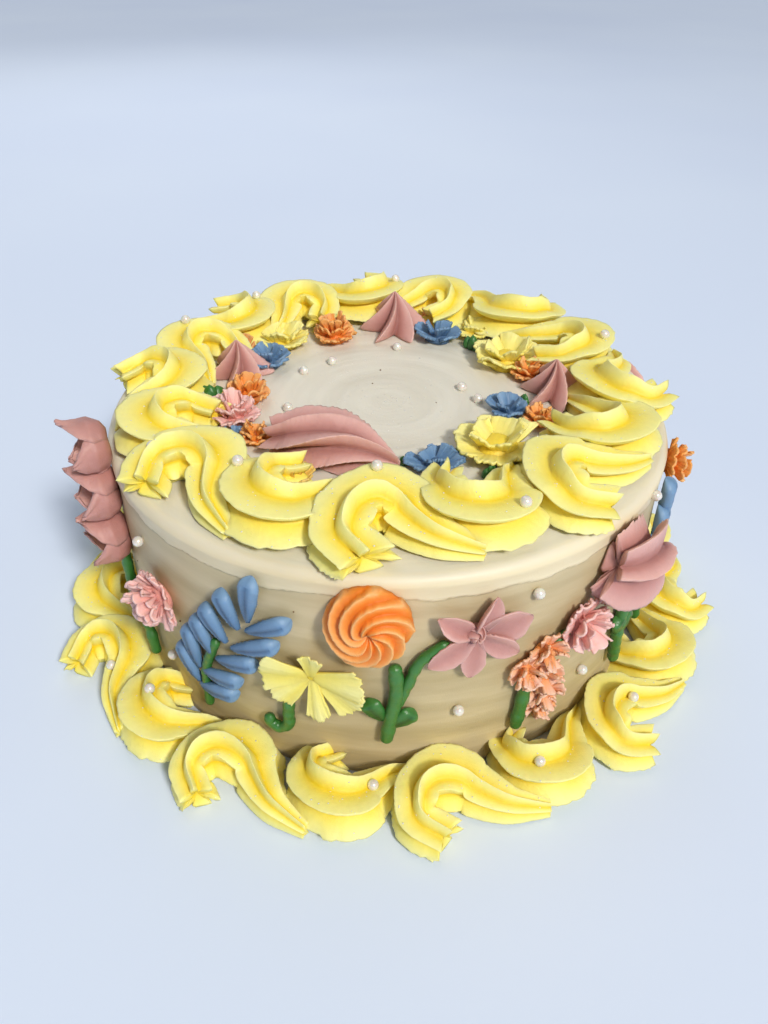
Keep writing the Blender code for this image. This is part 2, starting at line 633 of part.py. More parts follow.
# Pieces round the top: name, colour, shape, angle, radius, turn, size, stretch
TOP_PIECES = [
    ("mauve_star_back", "mauve", "star", 87.5, 62.0, 0.0, 14.0, 1.0),
    ("mauve_star_left", "mauve", "star", 163.0, 61.5, 12.0, 12.3, 1.0),
    ("mauve_star_right", "mauve", "star", 4.0, 63.0, 0.0, 12.0, 1.15),
    ("yellow_ruffle_front", "lemon", "ruffle", -44.0, 52.0, 0.0, 13.5, 1.0),
    ("yellow_flower_top", "lemon", "petals", 32.0, 57.0, 0.0, 15.5, 1.0),
    ("orange_carnation", "orange", "ruffle", -179.0, 53.0, 0.0, 8.6, 1.0),
    ("pink_carnation_top", "pink", "ruffle", -164.5, 58.0, 0.0, 8.8, 1.0),
    ("yellow_ruffle_back", "lemon", "ruffle", 134.0, 64.0, 0.0, 10.0, 1.3),
    ("orange_blossom_back", "orange", "ruffle", 114.0, 57.0, 0.0, 9.0, 1.0),
    ("blue_blossom_left", "blue", "lumps", 150.0, 56.0, 0.0, 8.4, 1.1),
    ("blue_blossom_back", "blue", "lumps", 68.0, 57.0, 0.0, 8.4, 1.0),
    ("orange_bud_back", "orange", "ruffle", 73.0, 73.0, 0.0, 7.0, 1.0),
    ("yellow_bud_back", "lemon", "ruffle", 57.0, 69.0, 0.0, 7.0, 1.0),
    ("leaf_back", "leaf_green", "lumps", 51.5, 57.0, 0.0, 4.6, 1.2),
    ("orange_blossom_right", "orange", "ruffle", 19.0, 59.0, 0.0, 6.6, 1.1),
    ("orange_bud_right", "orange", "ruffle", -16.5, 57.5, 0.0, 6.2, 1.0),
    ("blue_blossom_right", "blue", "lumps", -13.0, 45.0, 0.0, 7.2, 1.1),
    ("blue_blossom_front", "blue", "lumps", -71.0, 49.0, 0.0, 7.4, 1.3),
    ("orange_bud_left", "orange", "ruffle", -147.0, 55.0, 0.0, 6.0, 1.0),
    ("orange_bud_behind", "orange", "ruffle", 149.5, 69.5, 0.0, 7.2, 1.0),
    ("leaf_left", "leaf_green", "lumps", -177.0, 66.5, 0.0, 4.2, 1.0),
]

SHAPES = {
    "star": lambda size, stretch: drop(5, size, 1.45 * size, stretch=stretch),
    "ruffle": lambda size, stretch: ruffle(7, size, 0.95 * size, stretch=stretch),
    "lumps": lambda size, stretch: ruffle(4, size, 0.75 * size, 0.66, stretch),
    "rosette": lambda size, stretch: rosette(8, size, 0.75 * size),
    "shell": lambda size, stretch: shell(2.15 * size, size, 0.95 * size, (-10.0, 40.0)),
    "petals": lambda size, stretch: petal_star(5, size, 0.48 * size),
}


def build_stems(others):
    made = []
    for name, angle, height, line, thick, leaves in STEMS:
        place = on_wall(angle, height)
        parts = []
        points, faces = stem(line, thick)
        parts.append(solid(name, place(points), faces, "leaf_green"))
        for x, y, turn in leaves:
            points, faces = petal(9.0, 6.0, 3.0)
            parts.append(solid(name, place(turned(points, turn, (x * 0.2, y, 0.2))), faces, "leaf_green"))
        piece = joined(name, parts)
        made.append(trimmed(piece, others + made))
    return made


def build_fern(name, angle, height, side, others):
    """Teardrop petals in pairs along a leaning line, with one petal at the tip."""
    place = on_wall(angle, height)
    parts = []
    line = stem_path([(0, 0), (1 * side, 18), (9 * side, 38), (20 * side, 58)], 40)
    for k in range(6):
        x, y = line[min(12 + 4 * k, 39)]
        x2, y2 = line[min(14 + 4 * k, 39)]
        lean = math.degrees(math.atan2(y2 - y, x2 - x)) - 90.0
        for hand in (1, -1):
            if k == 5 and hand == -1:
                continue
            points, faces = petal(18.0, 6.6, 4.2, lift=1.5)
            swing = lean + hand * 40.0 if k < 5 else lean
            shift = (x + hand * 1.0 * (k < 5), y + 0.5 * hand, 0.3)
            parts.append(solid(name, place(turned(points, swing, shift)), faces, "blue"))
    return trimmed(thinned(joined(name, parts), CLUSTER_FACE_SHARE), others)


def build_tulips(others):
    """Three cups stacked up the wall, their tips away from it."""
    place = on_wall(-157.5, 50.0)
    parts = []
    for k, (y, size) in enumerate(TULIPS):
        points, faces = cup(4, size, TULIP_REACH * size, TULIP_LEAN)
        parts.append(solid("mauve_tulips", place(turned(points, 20.0 * k, (1.0 - k, y, 0.0))), faces, "mauve"))
    return trimmed(joined("mauve_tulips", parts), others)


def build_peach(others):
    """Five frilled lumps hanging beside a stem."""
    place = on_wall(-61.8, 36.0)
    parts = []
    for x, y, size in ((-5.5, 8.5, 6.2), (1.5, 13.5, 6.4), (2.0, 3.0, 6.2), (3.5, -5.0, 6.0), (3.0, -12.0, 5.6)):
        points, faces = ruffle(4, size, 0.9 * size, 0.84)
        parts.append(solid("peach_blossoms", place(points + np.array([x, y, 0.0])), faces, "peach"))
    return trimmed(thinned(joined("peach_blossoms", parts), CLUSTER_FACE_SHARE), others)


def build_blue_petals(others):
    """Long petals standing up beside the rosette."""
    place = on_wall(-23.0, 42.0)
    parts = []
    for x, y, turn in ((0.0, 0.0, 12.0), (2.0, 2.0, -14.0), (-1.0, 12.0, 6.0), (2.5, 14.0, -10.0), (0.5, 22.0, 4.0)):
        points, faces = petal(19.0, 7.6, 5.0, lift=1.0)
        parts.append(solid("blue_petals", place(turned(points, turn, (x, y, 0.2))), faces, "blue"))
    return trimmed(joined("blue_petals", parts), others)


def build_wall_flowers(others):
    made = []
    made.append(build_fern("blue_fern", -126.0, 15.0, 1, others))
    made.append(build_fern("back_blue_fern", 58.0, 15.0, -1, others + made))
    made.append(build_tulips(others + made))
    made.append(build_blue_petals(others + made))
    for name, colour_name, shape, angle, height, turn, size in WALL_FLOWERS:
        points, faces = SHAPES[shape](size, 1.0)
        piece = solid(name, on_wall(angle, height, turn)(points), faces, colour_name)
        made.append(trimmed(piece, others + made))
    made.append(build_peach(others + made))
    return made


def build_top_pieces(others):
    made = []
    points, faces = shell(48.0, 15.5, 17.0, (-30.0, 40.0), bow=0.05)
    swirl = solid("mauve_swirl", on_top(-115.5, 46.5, 3.0)(points), faces, "mauve")
    made.append(trimmed(swirl, others))
    for name, colour_name, shape, angle, radius, turn, size, stretch in TOP_PIECES:
        points, faces = SHAPES[shape](size, stretch)
        piece = solid(name, on_top(angle, radius, turn)(points), faces, colour_name)
        made.append(trimmed(piece, others + made))
    return made


def finish():
    """Smooth shading, and millimetres into metres."""
    for item in bpy.context.scene.objects:
        mesh = item.data
        points = np.array([v.co[:] for v in mesh.vertices]) * 0.001
        mesh.vertices.foreach_set("co", points.ravel())
        mesh.polygons.foreach_set("use_smooth", [True] * len(mesh.polygons))
        mesh.update()


def main():
    for item in list(bpy.data.objects):
        bpy.data.objects.remove(item)
    cake = build_cake()
    top, bottom = build_borders(cake)
    stems = build_stems([bottom])
    build_wall_flowers([bottom, top] + stems)
    build_top_pieces([top])
    finish()


main()
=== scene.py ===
"""Looks of a round buttercream cake with piped scroll borders, piped flowers and sugar pearls.

Sizes are in millimetres until a mesh is made, which turns them into metres.
Angles are in degrees, anticlockwise from +X seen from above; the front of the cake is at -90.
Every piped mesh carries a value called depth: 0 on its thin edges, 1 in its deepest grooves; its colour
darkens with it, which is painted shade in grooves and hollows.
"""
import math

import bpy
import numpy as np
from mathutils import Matrix, Vector
from mathutils.bvhtree import BVHTree


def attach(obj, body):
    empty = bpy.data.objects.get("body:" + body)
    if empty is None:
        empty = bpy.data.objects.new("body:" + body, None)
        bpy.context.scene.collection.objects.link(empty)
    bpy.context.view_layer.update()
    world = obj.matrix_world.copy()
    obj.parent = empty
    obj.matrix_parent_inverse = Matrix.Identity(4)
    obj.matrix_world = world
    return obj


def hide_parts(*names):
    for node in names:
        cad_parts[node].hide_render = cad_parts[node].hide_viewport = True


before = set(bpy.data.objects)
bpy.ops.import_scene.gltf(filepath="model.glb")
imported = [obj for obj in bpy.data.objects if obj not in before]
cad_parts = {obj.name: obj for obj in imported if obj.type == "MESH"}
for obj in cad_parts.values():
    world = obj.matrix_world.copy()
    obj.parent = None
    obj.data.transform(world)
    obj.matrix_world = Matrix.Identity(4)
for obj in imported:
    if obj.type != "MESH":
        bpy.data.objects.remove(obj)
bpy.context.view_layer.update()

# Driving sizes; the solids have the same, but for a slightly narrower bottom border
CAKE_RADIUS = 103.0
CAKE_HEIGHT = 89.0
EDGE_ROUNDING = 3.0
GAP = 0.45
PEARL_RADIUS = 1.9

TOP_RING_RADIUS = 83.0
TOP_ANGLES = (-91.0, -68.5, -45.0, -22.0, 1.0, 26.0, 51.0, 76.0,
              98.0, 119.0, 139.0, 159.0, 179.0, 201.5, 223.0, 246.0)
TOP_WIDTH = 36.0
TOP_CURL_HEIGHT = 17.5
FRONT_SHIFT = 3.0            # the scrolls at the front lie further in
FRONT_GROWTH = 5.0           # and are wider

BOTTOM_CURLS = 20
BOTTOM_ANGLES = tuple(-97.5 + 360.0 * k / BOTTOM_CURLS for k in range(BOTTOM_CURLS))
BOTTOM_RING_RADIUS = CAKE_RADIUS + 13.4
BOTTOM_WIDTH = 31.32
BOTTOM_CURL_HEIGHT = 21.0
BOTTOM_FACE = 0.3            # the bottom scrolls start this far above the ground

ROPE_SHARE = 0.245           # a scroll's rope radius, of its width
CURL_SHARE = 0.29            # half the length of a scroll's arch, of the distance between two scrolls
TAIL_SHARE = 0.51            # how far its tail reaches past the arch
SCROLL_MIDDLE = 0.45         # height of a scroll's core, of its full height
SCROLL_SHARPNESS = 0.62      # below 1 a scroll's blades are blunter
NOZZLE_FINS = 6
LEAST_BEND = 1e-6            # a line that bends less than this counts as straight

WALL_FACE = CAKE_RADIUS + GAP    # what is piped on the cake starts this far out
TOP_FACE = CAKE_HEIGHT + GAP
MILLIMETRE = 0.001


# Smooth chance: the same seed always gives the same bumps

def ripple(along, wavelength, seed, terms=5):
    """An uneven wave from about -1 to 1 with bumps of roughly one wavelength."""
    draw = np.random.default_rng(seed)
    along = np.asarray(along, float)
    total = np.zeros_like(along)
    for _ in range(terms):
        stretch = draw.uniform(0.6, 1.7)
        phase = draw.uniform(0.0, 2.0 * math.pi)
        total = total + np.sin(2.0 * math.pi * along / (wavelength * stretch) + phase)
    return total / math.sqrt(2.0 * terms)


# Places: each turns points piped on a flat sheet (x, y, height) into points on the cake

def on_wall(angle, height, turn=0.0):
    """x runs to the right along the wall, y up, the third value away from the wall."""
    def place(points):
        points = np.asarray(points, float)
        c, s = math.cos(math.radians(turn)), math.sin(math.radians(turn))
        x = points[:, 0] * c - points[:, 1] * s
        y = points[:, 0] * s + points[:, 1] * c
        around = math.radians(angle) + x / CAKE_RADIUS
        out = WALL_FACE + points[:, 2]
        return np.stack([out * np.cos(around), out * np.sin(around), height + y], 1)
    return place


def on_top(angle, radius, turn=0.0):
    """x runs anticlockwise, y towards the centre, the third value up."""
    def place(points):
        points = np.asarray(points, float)
        c, s = math.cos(math.radians(turn)), math.sin(math.radians(turn))
        x = points[:, 0] * c - points[:, 1] * s
        y = points[:, 0] * s + points[:, 1] * c
        around = math.radians(angle)
        inward = np.array([-math.cos(around), -math.sin(around)])
        along = np.array([-math.sin(around), math.cos(around)])
        flat = -inward * radius + x[:, None] * along + y[:, None] * inward
        return np.column_stack([flat, TOP_FACE + points[:, 2]])
    return place


def on_ring(angle, ring_radius, base):
    """x bends around the ring, y towards the centre, the third value up."""
    def place(points):
        points = np.asarray(points, float)
        around = math.radians(angle) + points[:, 0] / ring_radius
        out = ring_radius - points[:, 1]
        return np.stack([out * np.cos(around), out * np.sin(around), base + points[:, 2]], 1)
    return place


class Icing:
    """Collects closed surfaces, with their depth, for one piece."""

    def __init__(self):
        self.points = []
        self.faces = []
        self.depth = []
        self.count = 0

    def add(self, points, faces, depth):
        self.points.append(np.asarray(points, float))
        self.faces.extend(tuple(i + self.count for i in face) for face in faces)
        self.depth.append(np.asarray(depth, float))
        self.count += len(points)

    def lay(self, place, shape):
        """Adds a shape, which is its points, faces and depth, where place puts it."""
        points, faces, depth = shape
        self.add(place(points), faces, depth)

    def piece(self, name, colour, node=None, slot=None):
        mesh = bpy.data.meshes.new(name)
        mesh.from_pydata((np.concatenate(self.points) * MILLIMETRE).tolist(), [], self.faces)
        values = mesh.attributes.new("depth", "FLOAT", "POINT")
        values.data.foreach_set("value", np.concatenate(self.depth).astype(np.float32))
        mesh.polygons.foreach_set("use_smooth", [True] * len(mesh.polygons))
        mesh.update()
        made = bpy.data.objects.new(name, mesh)
        bpy.context.scene.collection.objects.link(made)
        made.data.materials.append(colour)
        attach(made, "root")
        if node:
            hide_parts(node)
        return made


# Piped shapes

def fine_line(points, step):
    """A smooth line through the points, with a point about every step."""
    points = np.asarray(points, float)
    gaps = np.linalg.norm(np.diff(points, axis=0), axis=1)
    at = np.concatenate([[0.0], np.cumsum(gaps)])
    slopes = np.gradient(points, at, axis=0)
    wanted = np.linspace(0.0, at[-1], max(4, int(round(at[-1] / step))) + 1)
    index = np.clip(np.searchsorted(at, wanted, side="right") - 1, 0, len(at) - 2)
    width = (at[index + 1] - at[index])[:, None]
    u = (wanted - at[index])[:, None] / width
    start, end = points[index], points[index + 1]
    leave, reach = slopes[index] * width, slopes[index + 1] * width
    return (start * (1 + 2 * u) * (1 - u) ** 2 + leave * u * (1 - u) ** 2
            + end * u ** 2 * (3 - 2 * u) + reach * u ** 2 * (u - 1))


# Where points lie round one fin of the nozzle, from its tip (0) to the groove beside it (1)
FIN_MARKS = (0.0, 0.05, 0.13, 0.26, 0.44, 0.70)
FIN_SLOPE = 2.1              # how steeply a fin falls to its groove


def fin_outline(fins, sharp):
    """For each point round the nozzle: its turn, its share of the fin's reach and its fin's number."""
    marks = list(FIN_MARKS) + [1.0] + [-mark for mark in reversed(FIN_MARKS[1:])]
    turns, shares, numbers = [], [], []
    for k in range(fins):
        for mark in marks:
            turns.append(2.0 * math.pi * (k + 0.5 * mark) / fins)
            shares.append((1.0 - abs(mark)) ** (FIN_SLOPE * sharp))
            numbers.append(k)
    order = np.argsort(np.array(turns))
    return np.array(turns)[order], np.array(shares)[order], np.array(numbers)[order]


# A scroll along its length: its reach on both sides in rope radii, its height as a share of the full one
OUTER_MARKS = (0.0, 0.2, 0.5, 0.6, 0.8, 1.0)
OUTER_REACH = (0.85, 1.15, 1.85, 1.75, 0.85, 0.30)
INNER_MARKS = (0.0, 0.5, 0.7, 0.8, 1.0)
INNER_REACH = (0.85, 1.05, 0.90, 0.60, 0.25)
TOP_MARKS = (0.0, 0.2, 0.45, 0.7, 1.0)
TOP_SHARES = (0.62, 0.92, 1.0, 0.72, 0.30)


def curl(width, half_length, tail_length, rope_radius, height, mirror):
    """One scroll: a leg that starts in a star, an arch and a tail that runs under the next scroll.

    Gives its middle line and, at each point, its reach on the outer side, on the inner side and upwards.
    """
    flat = [(-0.40 * half_length, -0.40 * width), (-1.0 * half_length, -0.22 * width)]
    for number in range(6):
        turn = math.radians(180.0 - 30.0 * number)
        flat.append((half_length * math.cos(turn), (0.245 * math.sin(turn) - 0.10) * width))
    for share in (0.36, 0.68, 1.0):
        flat.append((half_length + tail_length * share, -(0.10 + 0.22 * share) * width))
    flat = np.array(flat)
    flat[:, 1] = mirror * (flat[:, 1] - 0.09 * width)
    along = np.linspace(0.0, 1.0, len(flat))
    outer = rope_radius * np.interp(along, OUTER_MARKS, OUTER_REACH)
    inner = rope_radius * np.interp(along, INNER_MARKS, INNER_REACH)
    top = height * np.interp(along, TOP_MARKS, TOP_SHARES)
    return flat, outer, inner, top


def eased_in(values, limit):
    """Brings the reach on the inner side of a tight bend back, so that it never crosses itself."""
    return limit * np.tanh(values / limit)


def directions(path):
    """The direction at each point of a line, and how far that point moves along it."""
    ahead = np.gradient(path, axis=0)
    length = np.linalg.norm(ahead, axis=1, keepdims=True)
    return ahead / length, length


def bend_of(ahead, length):
    """How sharply a flat line turns at each point, evened out over nine points."""
    heading = np.unwrap(np.arctan2(ahead[:, 1], ahead[:, 0]))
    bend = np.gradient(heading) / length[:, 0]
    return np.convolve(np.pad(bend, 4, mode="edge"), np.ones(9) / 9.0, mode="valid")


def scroll(flat, outer, inner, top, mirror, seed, groove=0.50, step=0.7, twist=(12.0, -18.0),
           raggedness=1.0):
    """A scroll piped with a star nozzle: blades with broad ribbons between them, its foot spread out."""
    line = fine_line(np.column_stack([flat, outer, inner, top]), step)
    path, outer, inner, top = line[:, :2], line[:, 2], line[:, 3], line[:, 4]
    ahead, length = directions(path)
    side = np.column_stack([ahead[:, 1], -ahead[:, 0]])
    bend = bend_of(ahead, length)
    travelled = np.concatenate([[0.0], np.cumsum(np.linalg.norm(np.diff(path, axis=0), axis=1))])
    turns, shares, numbers = fin_outline(NOZZLE_FINS, SCROLL_SHARPNESS)
    draw = np.random.default_rng(seed)
    fin_size = draw.uniform(0.94, 1.06, NOZZLE_FINS)[numbers]
    whole = travelled[-1]
    rings, depths = [], []
    for i, at in enumerate(travelled):
        turn = turns + math.radians(-mirror * (twist[0] + (twist[1] - twist[0]) * at / whole))
        sideways = np.sin(turn)
        outwards = sideways * -mirror > 0
        # the upper blades lean in and the lower ones spread on the cake
        spread = np.sign(sideways) * np.abs(sideways) ** np.where(np.cos(turn) > 0, 1.2, 0.35)
        # rims are torn, most of all on the outer side near the cake
        tear = ripple(at + 40.0 * numbers, 3.2, seed) + 0.8 * ripple(at + 31.0 * numbers, 1.5, seed + 7)
        rough = raggedness * (0.016 + 0.026 * outwards * (1.0 - np.cos(turn)))
        wander = 0.03 * ripple(at + 25.0 * numbers, 16.0, seed + 3)
        # the start is a blunt star with deeper grooves, which opens into the scroll
        opening = min(1.0, at / (0.7 * inner[0]))
        deep = groove * (0.55 + 0.45 * opening)
        blunt = shares ** (0.50 + 0.50 * opening)
        reach = deep + (1.0 - deep) * blunt * fin_size * (1.0 + wander + rough * tear * shares)
        across = reach * spread * np.where(outwards, outer[i], inner[i])
        if abs(bend[i]) > LEAST_BEND:
            limit = 0.96 / abs(bend[i])
            across = np.where(outwards, across, np.sign(sideways) * eased_in(np.abs(across), limit))
        up = top[i] * (SCROLL_MIDDLE + (1.0 - SCROLL_MIDDLE) * reach * np.cos(turn))
        back = 0.34 * inner[0] * shares ** 0.8 * (1.0 - opening) ** 1.2 * (np.cos(turn) > -0.6)
        flat_place = path[i] + across[:, None] * side[i] - back[:, None] * ahead[i]
        rings.append(np.column_stack([flat_place, np.maximum(up, 0.0)]))
        # the eye that the curl closes round is as deep in colour as a groove: painted shade in the hollow,
        # as in the grooves between the blades
        eye = ~outwards * np.clip(1.3 * abs(bend[i]) * np.abs(across) - 0.5, 0.0, 0.6)
        depths.append(np.clip((1.0 - shares) ** 1.4 + eye, 0.0, 1.0))
    return closed_skin(rings, depths, path, top)


# The ring at a scroll's start, drawn in towards its middle in these shares, and how far it is pressed in
START_SHARES = (0.30, 0.60, 0.85)
PRESSED_RINGS = 1.6
PRESSED_MIDDLE = 2.2


def closed_skin(rings, depths, path, top):
    """Closes a swept star rope: its start is pressed in, its end is drawn to a point."""
    first, last = rings[0], rings[-1]
    start = np.array([*path[0], SCROLL_MIDDLE * top[0]])
    end = np.array([*path[-1], 0.3 * top[-1]])
    heading = path[1] - path[0]
    ahead = np.array([*(heading / np.linalg.norm(heading)), 0.0])
    before, before_depths = [], []
    for share in START_SHARES:
        before.append(start + (first - start) * share + ahead * PRESSED_RINGS * (1.0 - share))
        before_depths.append(1.0 - (1.0 - depths[0]) * share)
    after = [end + (last - end) * share for share in (0.7, 0.35)]
    rings = before + rings + after
    depths = before_depths + depths + [depths[-1], depths[-1]]
    return closed_rings(rings, depths, start + ahead * PRESSED_MIDDLE, end, 1.0, 0.3)


def ring_faces(levels, count):
    """Faces of a stack of rings that is closed by two last points, one before it and one after it."""
    faces = []
    for i in range(levels - 1):
        for k in range(count):
            a = i * count + k
            b = i * count + (k + 1) % count
            faces.append((a, b, b + count, a + count))
    last = (levels - 1) * count
    ends = levels * count
    for k in range(count):
        faces.append(((k + 1) % count, k, ends))
        faces.append((last + k, last + (k + 1) % count, ends + 1))
    return faces


def closed_rings(rings, depths, start, end, start_depth, end_depth):
    """The shape of a stack of rings with a closing point at both ends."""
    points = np.vstack(rings + [np.array([start, end], float)])
    faces = ring_faces(len(rings), len(rings[0]))
    return points, faces, np.concatenate(depths + [np.array([start_depth, end_depth])])


# A shell's half width and height along its length, as shares of the widest and the highest
SHELL_MARKS = (0.0, 0.18, 0.42, 0.65, 0.85, 1.0)
SHELL_WIDTHS = (0.55, 0.90, 1.0, 0.78, 0.36, 0.10)
SHELL_HEIGHTS = (0.62, 0.92, 1.0, 0.92, 0.66, 0.45)


def shell(length, reach, height, twist, seed, bow=0.0, raggedness=1.0, widths=SHELL_WIDTHS):
    """A fat ridged shell along x, drawn out into a tip; it bows sideways by a part of its length."""
    along = np.linspace(0.0, 1.0, 14)
    flat = np.column_stack([(along - 0.45) * length, bow * length * np.sin(math.pi * along)])
    width = reach * np.interp(along, SHELL_MARKS, widths)
    top = height * np.interp(along, SHELL_MARKS, SHELL_HEIGHTS)
    points, faces, depth = scroll(flat, width, width, top, 1.0, seed, groove=0.46, step=0.45, twist=twist,
                                  raggedness=raggedness)
    points[:, 2] = np.maximum(points[:, 2], 0.0)
    return points, faces, depth


# A cupped petal along its length: its half turn round the flower, and its distance from the flower's middle
SPOON_TURN_MARKS = (0.0, 0.3, 0.65, 0.85, 1.0)
SPOON_TURNS = (0.95, 1.05, 0.80, 0.45, 0.05)
SPOON_REACH_MARKS = (0.0, 0.10, 0.35, 0.65, 0.85, 1.0)
SPOON_REACH = (0.55, 0.82, 1.0, 0.95, 0.84, 0.80)
SPOON_THICKNESS = 1.2


def spoon_petal(length, radius, turn, half_turn, tip, seed):
    """A cupped petal that stands on what it is piped on, drawn out to a point; the flower's axis is z."""
    u = np.linspace(0.0, 1.0, 30)[:, None]
    v = np.linspace(-1.0, 1.0, 25)[None, :]
    spread = half_turn * np.interp(u, SPOON_TURN_MARKS, SPOON_TURNS)
    reach = radius * np.interp(u, SPOON_REACH_MARKS, SPOON_REACH)
    reach = reach + tip * np.clip(u - 0.55, 0.0, 1.0) ** 1.5 * 3.0 * (1.0 - 0.5 * np.abs(v))
    bulges = 0.035 * ripple(10.0 * v + 8.0 * u, 9.0, seed)
    torn = 0.012 * ripple(30.0 * u, 2.0, seed + 1) * np.abs(v) ** 4
    reach = reach * (1.0 + bulges + torn)
    around = np.radians(turn + spread * v)
    rise = length * u * (1.0 - 0.10 * v ** 2) + 0.25 * ripple(12.0 * v, 2.5, seed + 2) * u
    grid = np.stack([reach * np.cos(around), reach * np.sin(around), rise], 2)
    # deeper colour at the foot of the petal, paler towards its rim and sides: painted shade deep in the cup
    depth = np.clip(0.62 - 0.45 * u - 0.20 * np.abs(v) ** 3, 0.0, 1.0)
    return sheet(grid, SPOON_THICKNESS * (1.0 - 0.55 * u) * (1.0 - 0.45 * np.abs(v) ** 3), depth)


def border(angles, ring_radius, width, base, height, first_mirror, seed, growth=0.0, shift=0.0):
    """A ring of scrolls, each piped over the tail of the one before; they grow towards the front."""
    icing = Icing()
    draw = np.random.default_rng(seed)
    for k, angle in enumerate(angles):
        mirror = first_mirror * (1.0 if k % 2 == 0 else -1.0)
        front = max(0.0, -math.sin(math.radians(angle))) ** 4
        radius = ring_radius - shift * front
        size = (width + growth * front) * draw.uniform(0.97, 1.03)
        gap = (angles[(k + 1) % len(angles)] - angle) % 360.0
        pitch = math.radians(gap) * radius
        line = curl(size, CURL_SHARE * pitch, TAIL_SHARE * pitch, ROPE_SHARE * size, height, mirror)
        points, faces, depth = scroll(*line, mirror, seed + 11 * k)
        placed = on_ring(angle + draw.uniform(-0.5, 0.5), radius, base)(points)
        placed[:, 2] = np.maximum(placed[:, 2], 0.25)
        icing.add(placed, faces, depth)
    return icing


def sheet(grid, thick, depth):
    """A closed thin sheet from a grid of points; its back lies under its face by the thickness."""
    rows, columns = grid.shape[:2]
    normal = np.cross(np.gradient(grid, axis=0), np.gradient(grid, axis=1))
    normal = normal / np.maximum(np.linalg.norm(normal, axis=2, keepdims=True), 1e-9)
    top = grid.reshape(-1, 3)
    under = top - normal.reshape(-1, 3) * np.asarray(thick).reshape(-1, 1)
    points = np.vstack([top, under])
    back = rows * columns
    faces = []
    for i in range(rows - 1):
        for j in range(columns - 1):
            a = i * columns + j
            faces.append((a, a + 1, a + columns + 1, a + columns))
            faces.append((back + a, back + a + columns, back + a + columns + 1, back + a + 1))
    for i in range(rows - 1):
        a, b = i * columns, (i + 1) * columns
        faces.append((a, b, back + b, back + a))
        a, b = i * columns + columns - 1, (i + 1) * columns + columns - 1
        faces.append((b, a, back + a, back + b))
    for j in range(columns - 1):
        faces.append((j + 1, j, back + j, back + j + 1))
        a = (rows - 1) * columns + j
        faces.append((a, a + 1, back + a + 1, back + a))
    depth = np.asarray(depth).reshape(-1)
    # the back of a sheet is coloured deeper than its face: painted shade on its underside
    return points, faces, np.concatenate([depth, np.clip(depth + 0.2, 0, 1)])


def shifted(shape, shift):
    """Moves a shape."""
    points, faces, depth = shape
    return points + np.array(shift), faces, depth


def turned(shape, degrees, shift=(0.0, 0.0, 0.0)):
    """Turns a shape on the sheet that it is piped on, then moves it."""
    points, faces, depth = shape
    c, s = math.cos(math.radians(degrees)), math.sin(math.radians(degrees))
    x = points[:, 0] * c - points[:, 1] * s
    y = points[:, 0] * s + points[:, 1] * c
    return np.column_stack([x, y, points[:, 2]]) + np.array(shift), faces, depth


# A smooth petal's width along its length, as a share of the widest
LEAF_PETAL_MARKS = (0.0, 0.15, 0.40, 0.62, 0.80, 0.92, 1.0)
LEAF_PETAL_WIDTHS = (0.30, 0.62, 0.94, 1.0, 0.80, 0.50, 0.16)


def leaf_petal(length, width, fold, seed, lift):
    """A smooth petal with a blunt point and a torn foot, one rim of it turned up; it points along +x."""
    u = np.linspace(0.0, 1.0, 36)[:, None]
    v = np.linspace(-1.0, 1.0, 21)[None, :]
    profile = np.interp(u, LEAF_PETAL_MARKS, LEAF_PETAL_WIDTHS)
    half = 0.5 * width * profile * (1.0 + 0.04 * ripple(u * length, 5.0, seed))
    x = length * u * (1.0 - 0.04 * v ** 2) + 0 * v
    raised = 0.5 * (1.0 + np.tanh(5.0 * (v - 0.45))) * fold
    y = half * v * (1.0 - 0.28 * (raised > 0.3) * (raised / max(abs(fold), 0.01)) * (fold > 0.8))
    torn = 0.35 * ripple(u * length + 40.0 * v, 1.0, seed + 2) * np.clip(1.0 - 3.0 * u, 0.0, 1.0)
    z = 0.9 + lift * np.sin(0.5 * math.pi * u ** 0.8) + raised * profile + 0.7 * profile * v ** 2 + torn
    # deeper colour along the middle and at the foot, paler on the rims and on the turned-up rim: painted
    # shade and painted light
    depth = np.clip(0.50 - 0.45 * np.abs(v) ** 2 + 0.40 * (1.0 - u) ** 2 - 0.10 * raised, 0.0, 1.0)
    thick = (1.3 - 0.6 * np.abs(v) ** 2) * (1.0 - 0.75 * u ** 3)
    return sheet(np.stack([x, y, z], 2), thick, depth)


def fan_petal(length, width, folds, fold, seed, lift, start, torn, thick=1.0):
    """A petal that widens to a torn outer edge and falls into a few soft folds; it points along +x."""
    u = np.linspace(0.0, 1.0, 24)[:, None]
    v = np.linspace(-1.0, 1.0, 41)[None, :]
    half = 0.5 * width * (start + (1.0 - start) * u ** 0.85)
    edge = 1.0 - 0.14 * v ** 2 + torn * (ripple(20.0 * v, 9.0, seed) + 0.5 * ripple(20.0 * v, 1.5, seed + 1))
    x = length * u * (1.0 + (edge - 1.0) * u ** 2)
    crease = ripple(20.0 * v + 0.0 * u, 40.0 / folds, seed + 3, 3)
    slope = np.gradient(crease, axis=1) * 3.0
    y = half * v - fold * 0.9 * slope * u
    grain = 0.07 * ripple(20.0 * v + 3.0 * u, 2.2, seed + 4) * u
    z = 0.8 + lift * u ** 0.9 + fold * u ** 0.8 * crease + grain
    # deeper colour at the foot and where the folds dip, paler where they rise: painted shade in the folds
    depth = np.clip(0.62 - 0.50 * u - 0.28 * crease * u, 0.0, 1.0)
    return sheet(np.stack([x, y, z], 2), thick * (1.15 - 0.60 * u + 0.0 * v), depth)


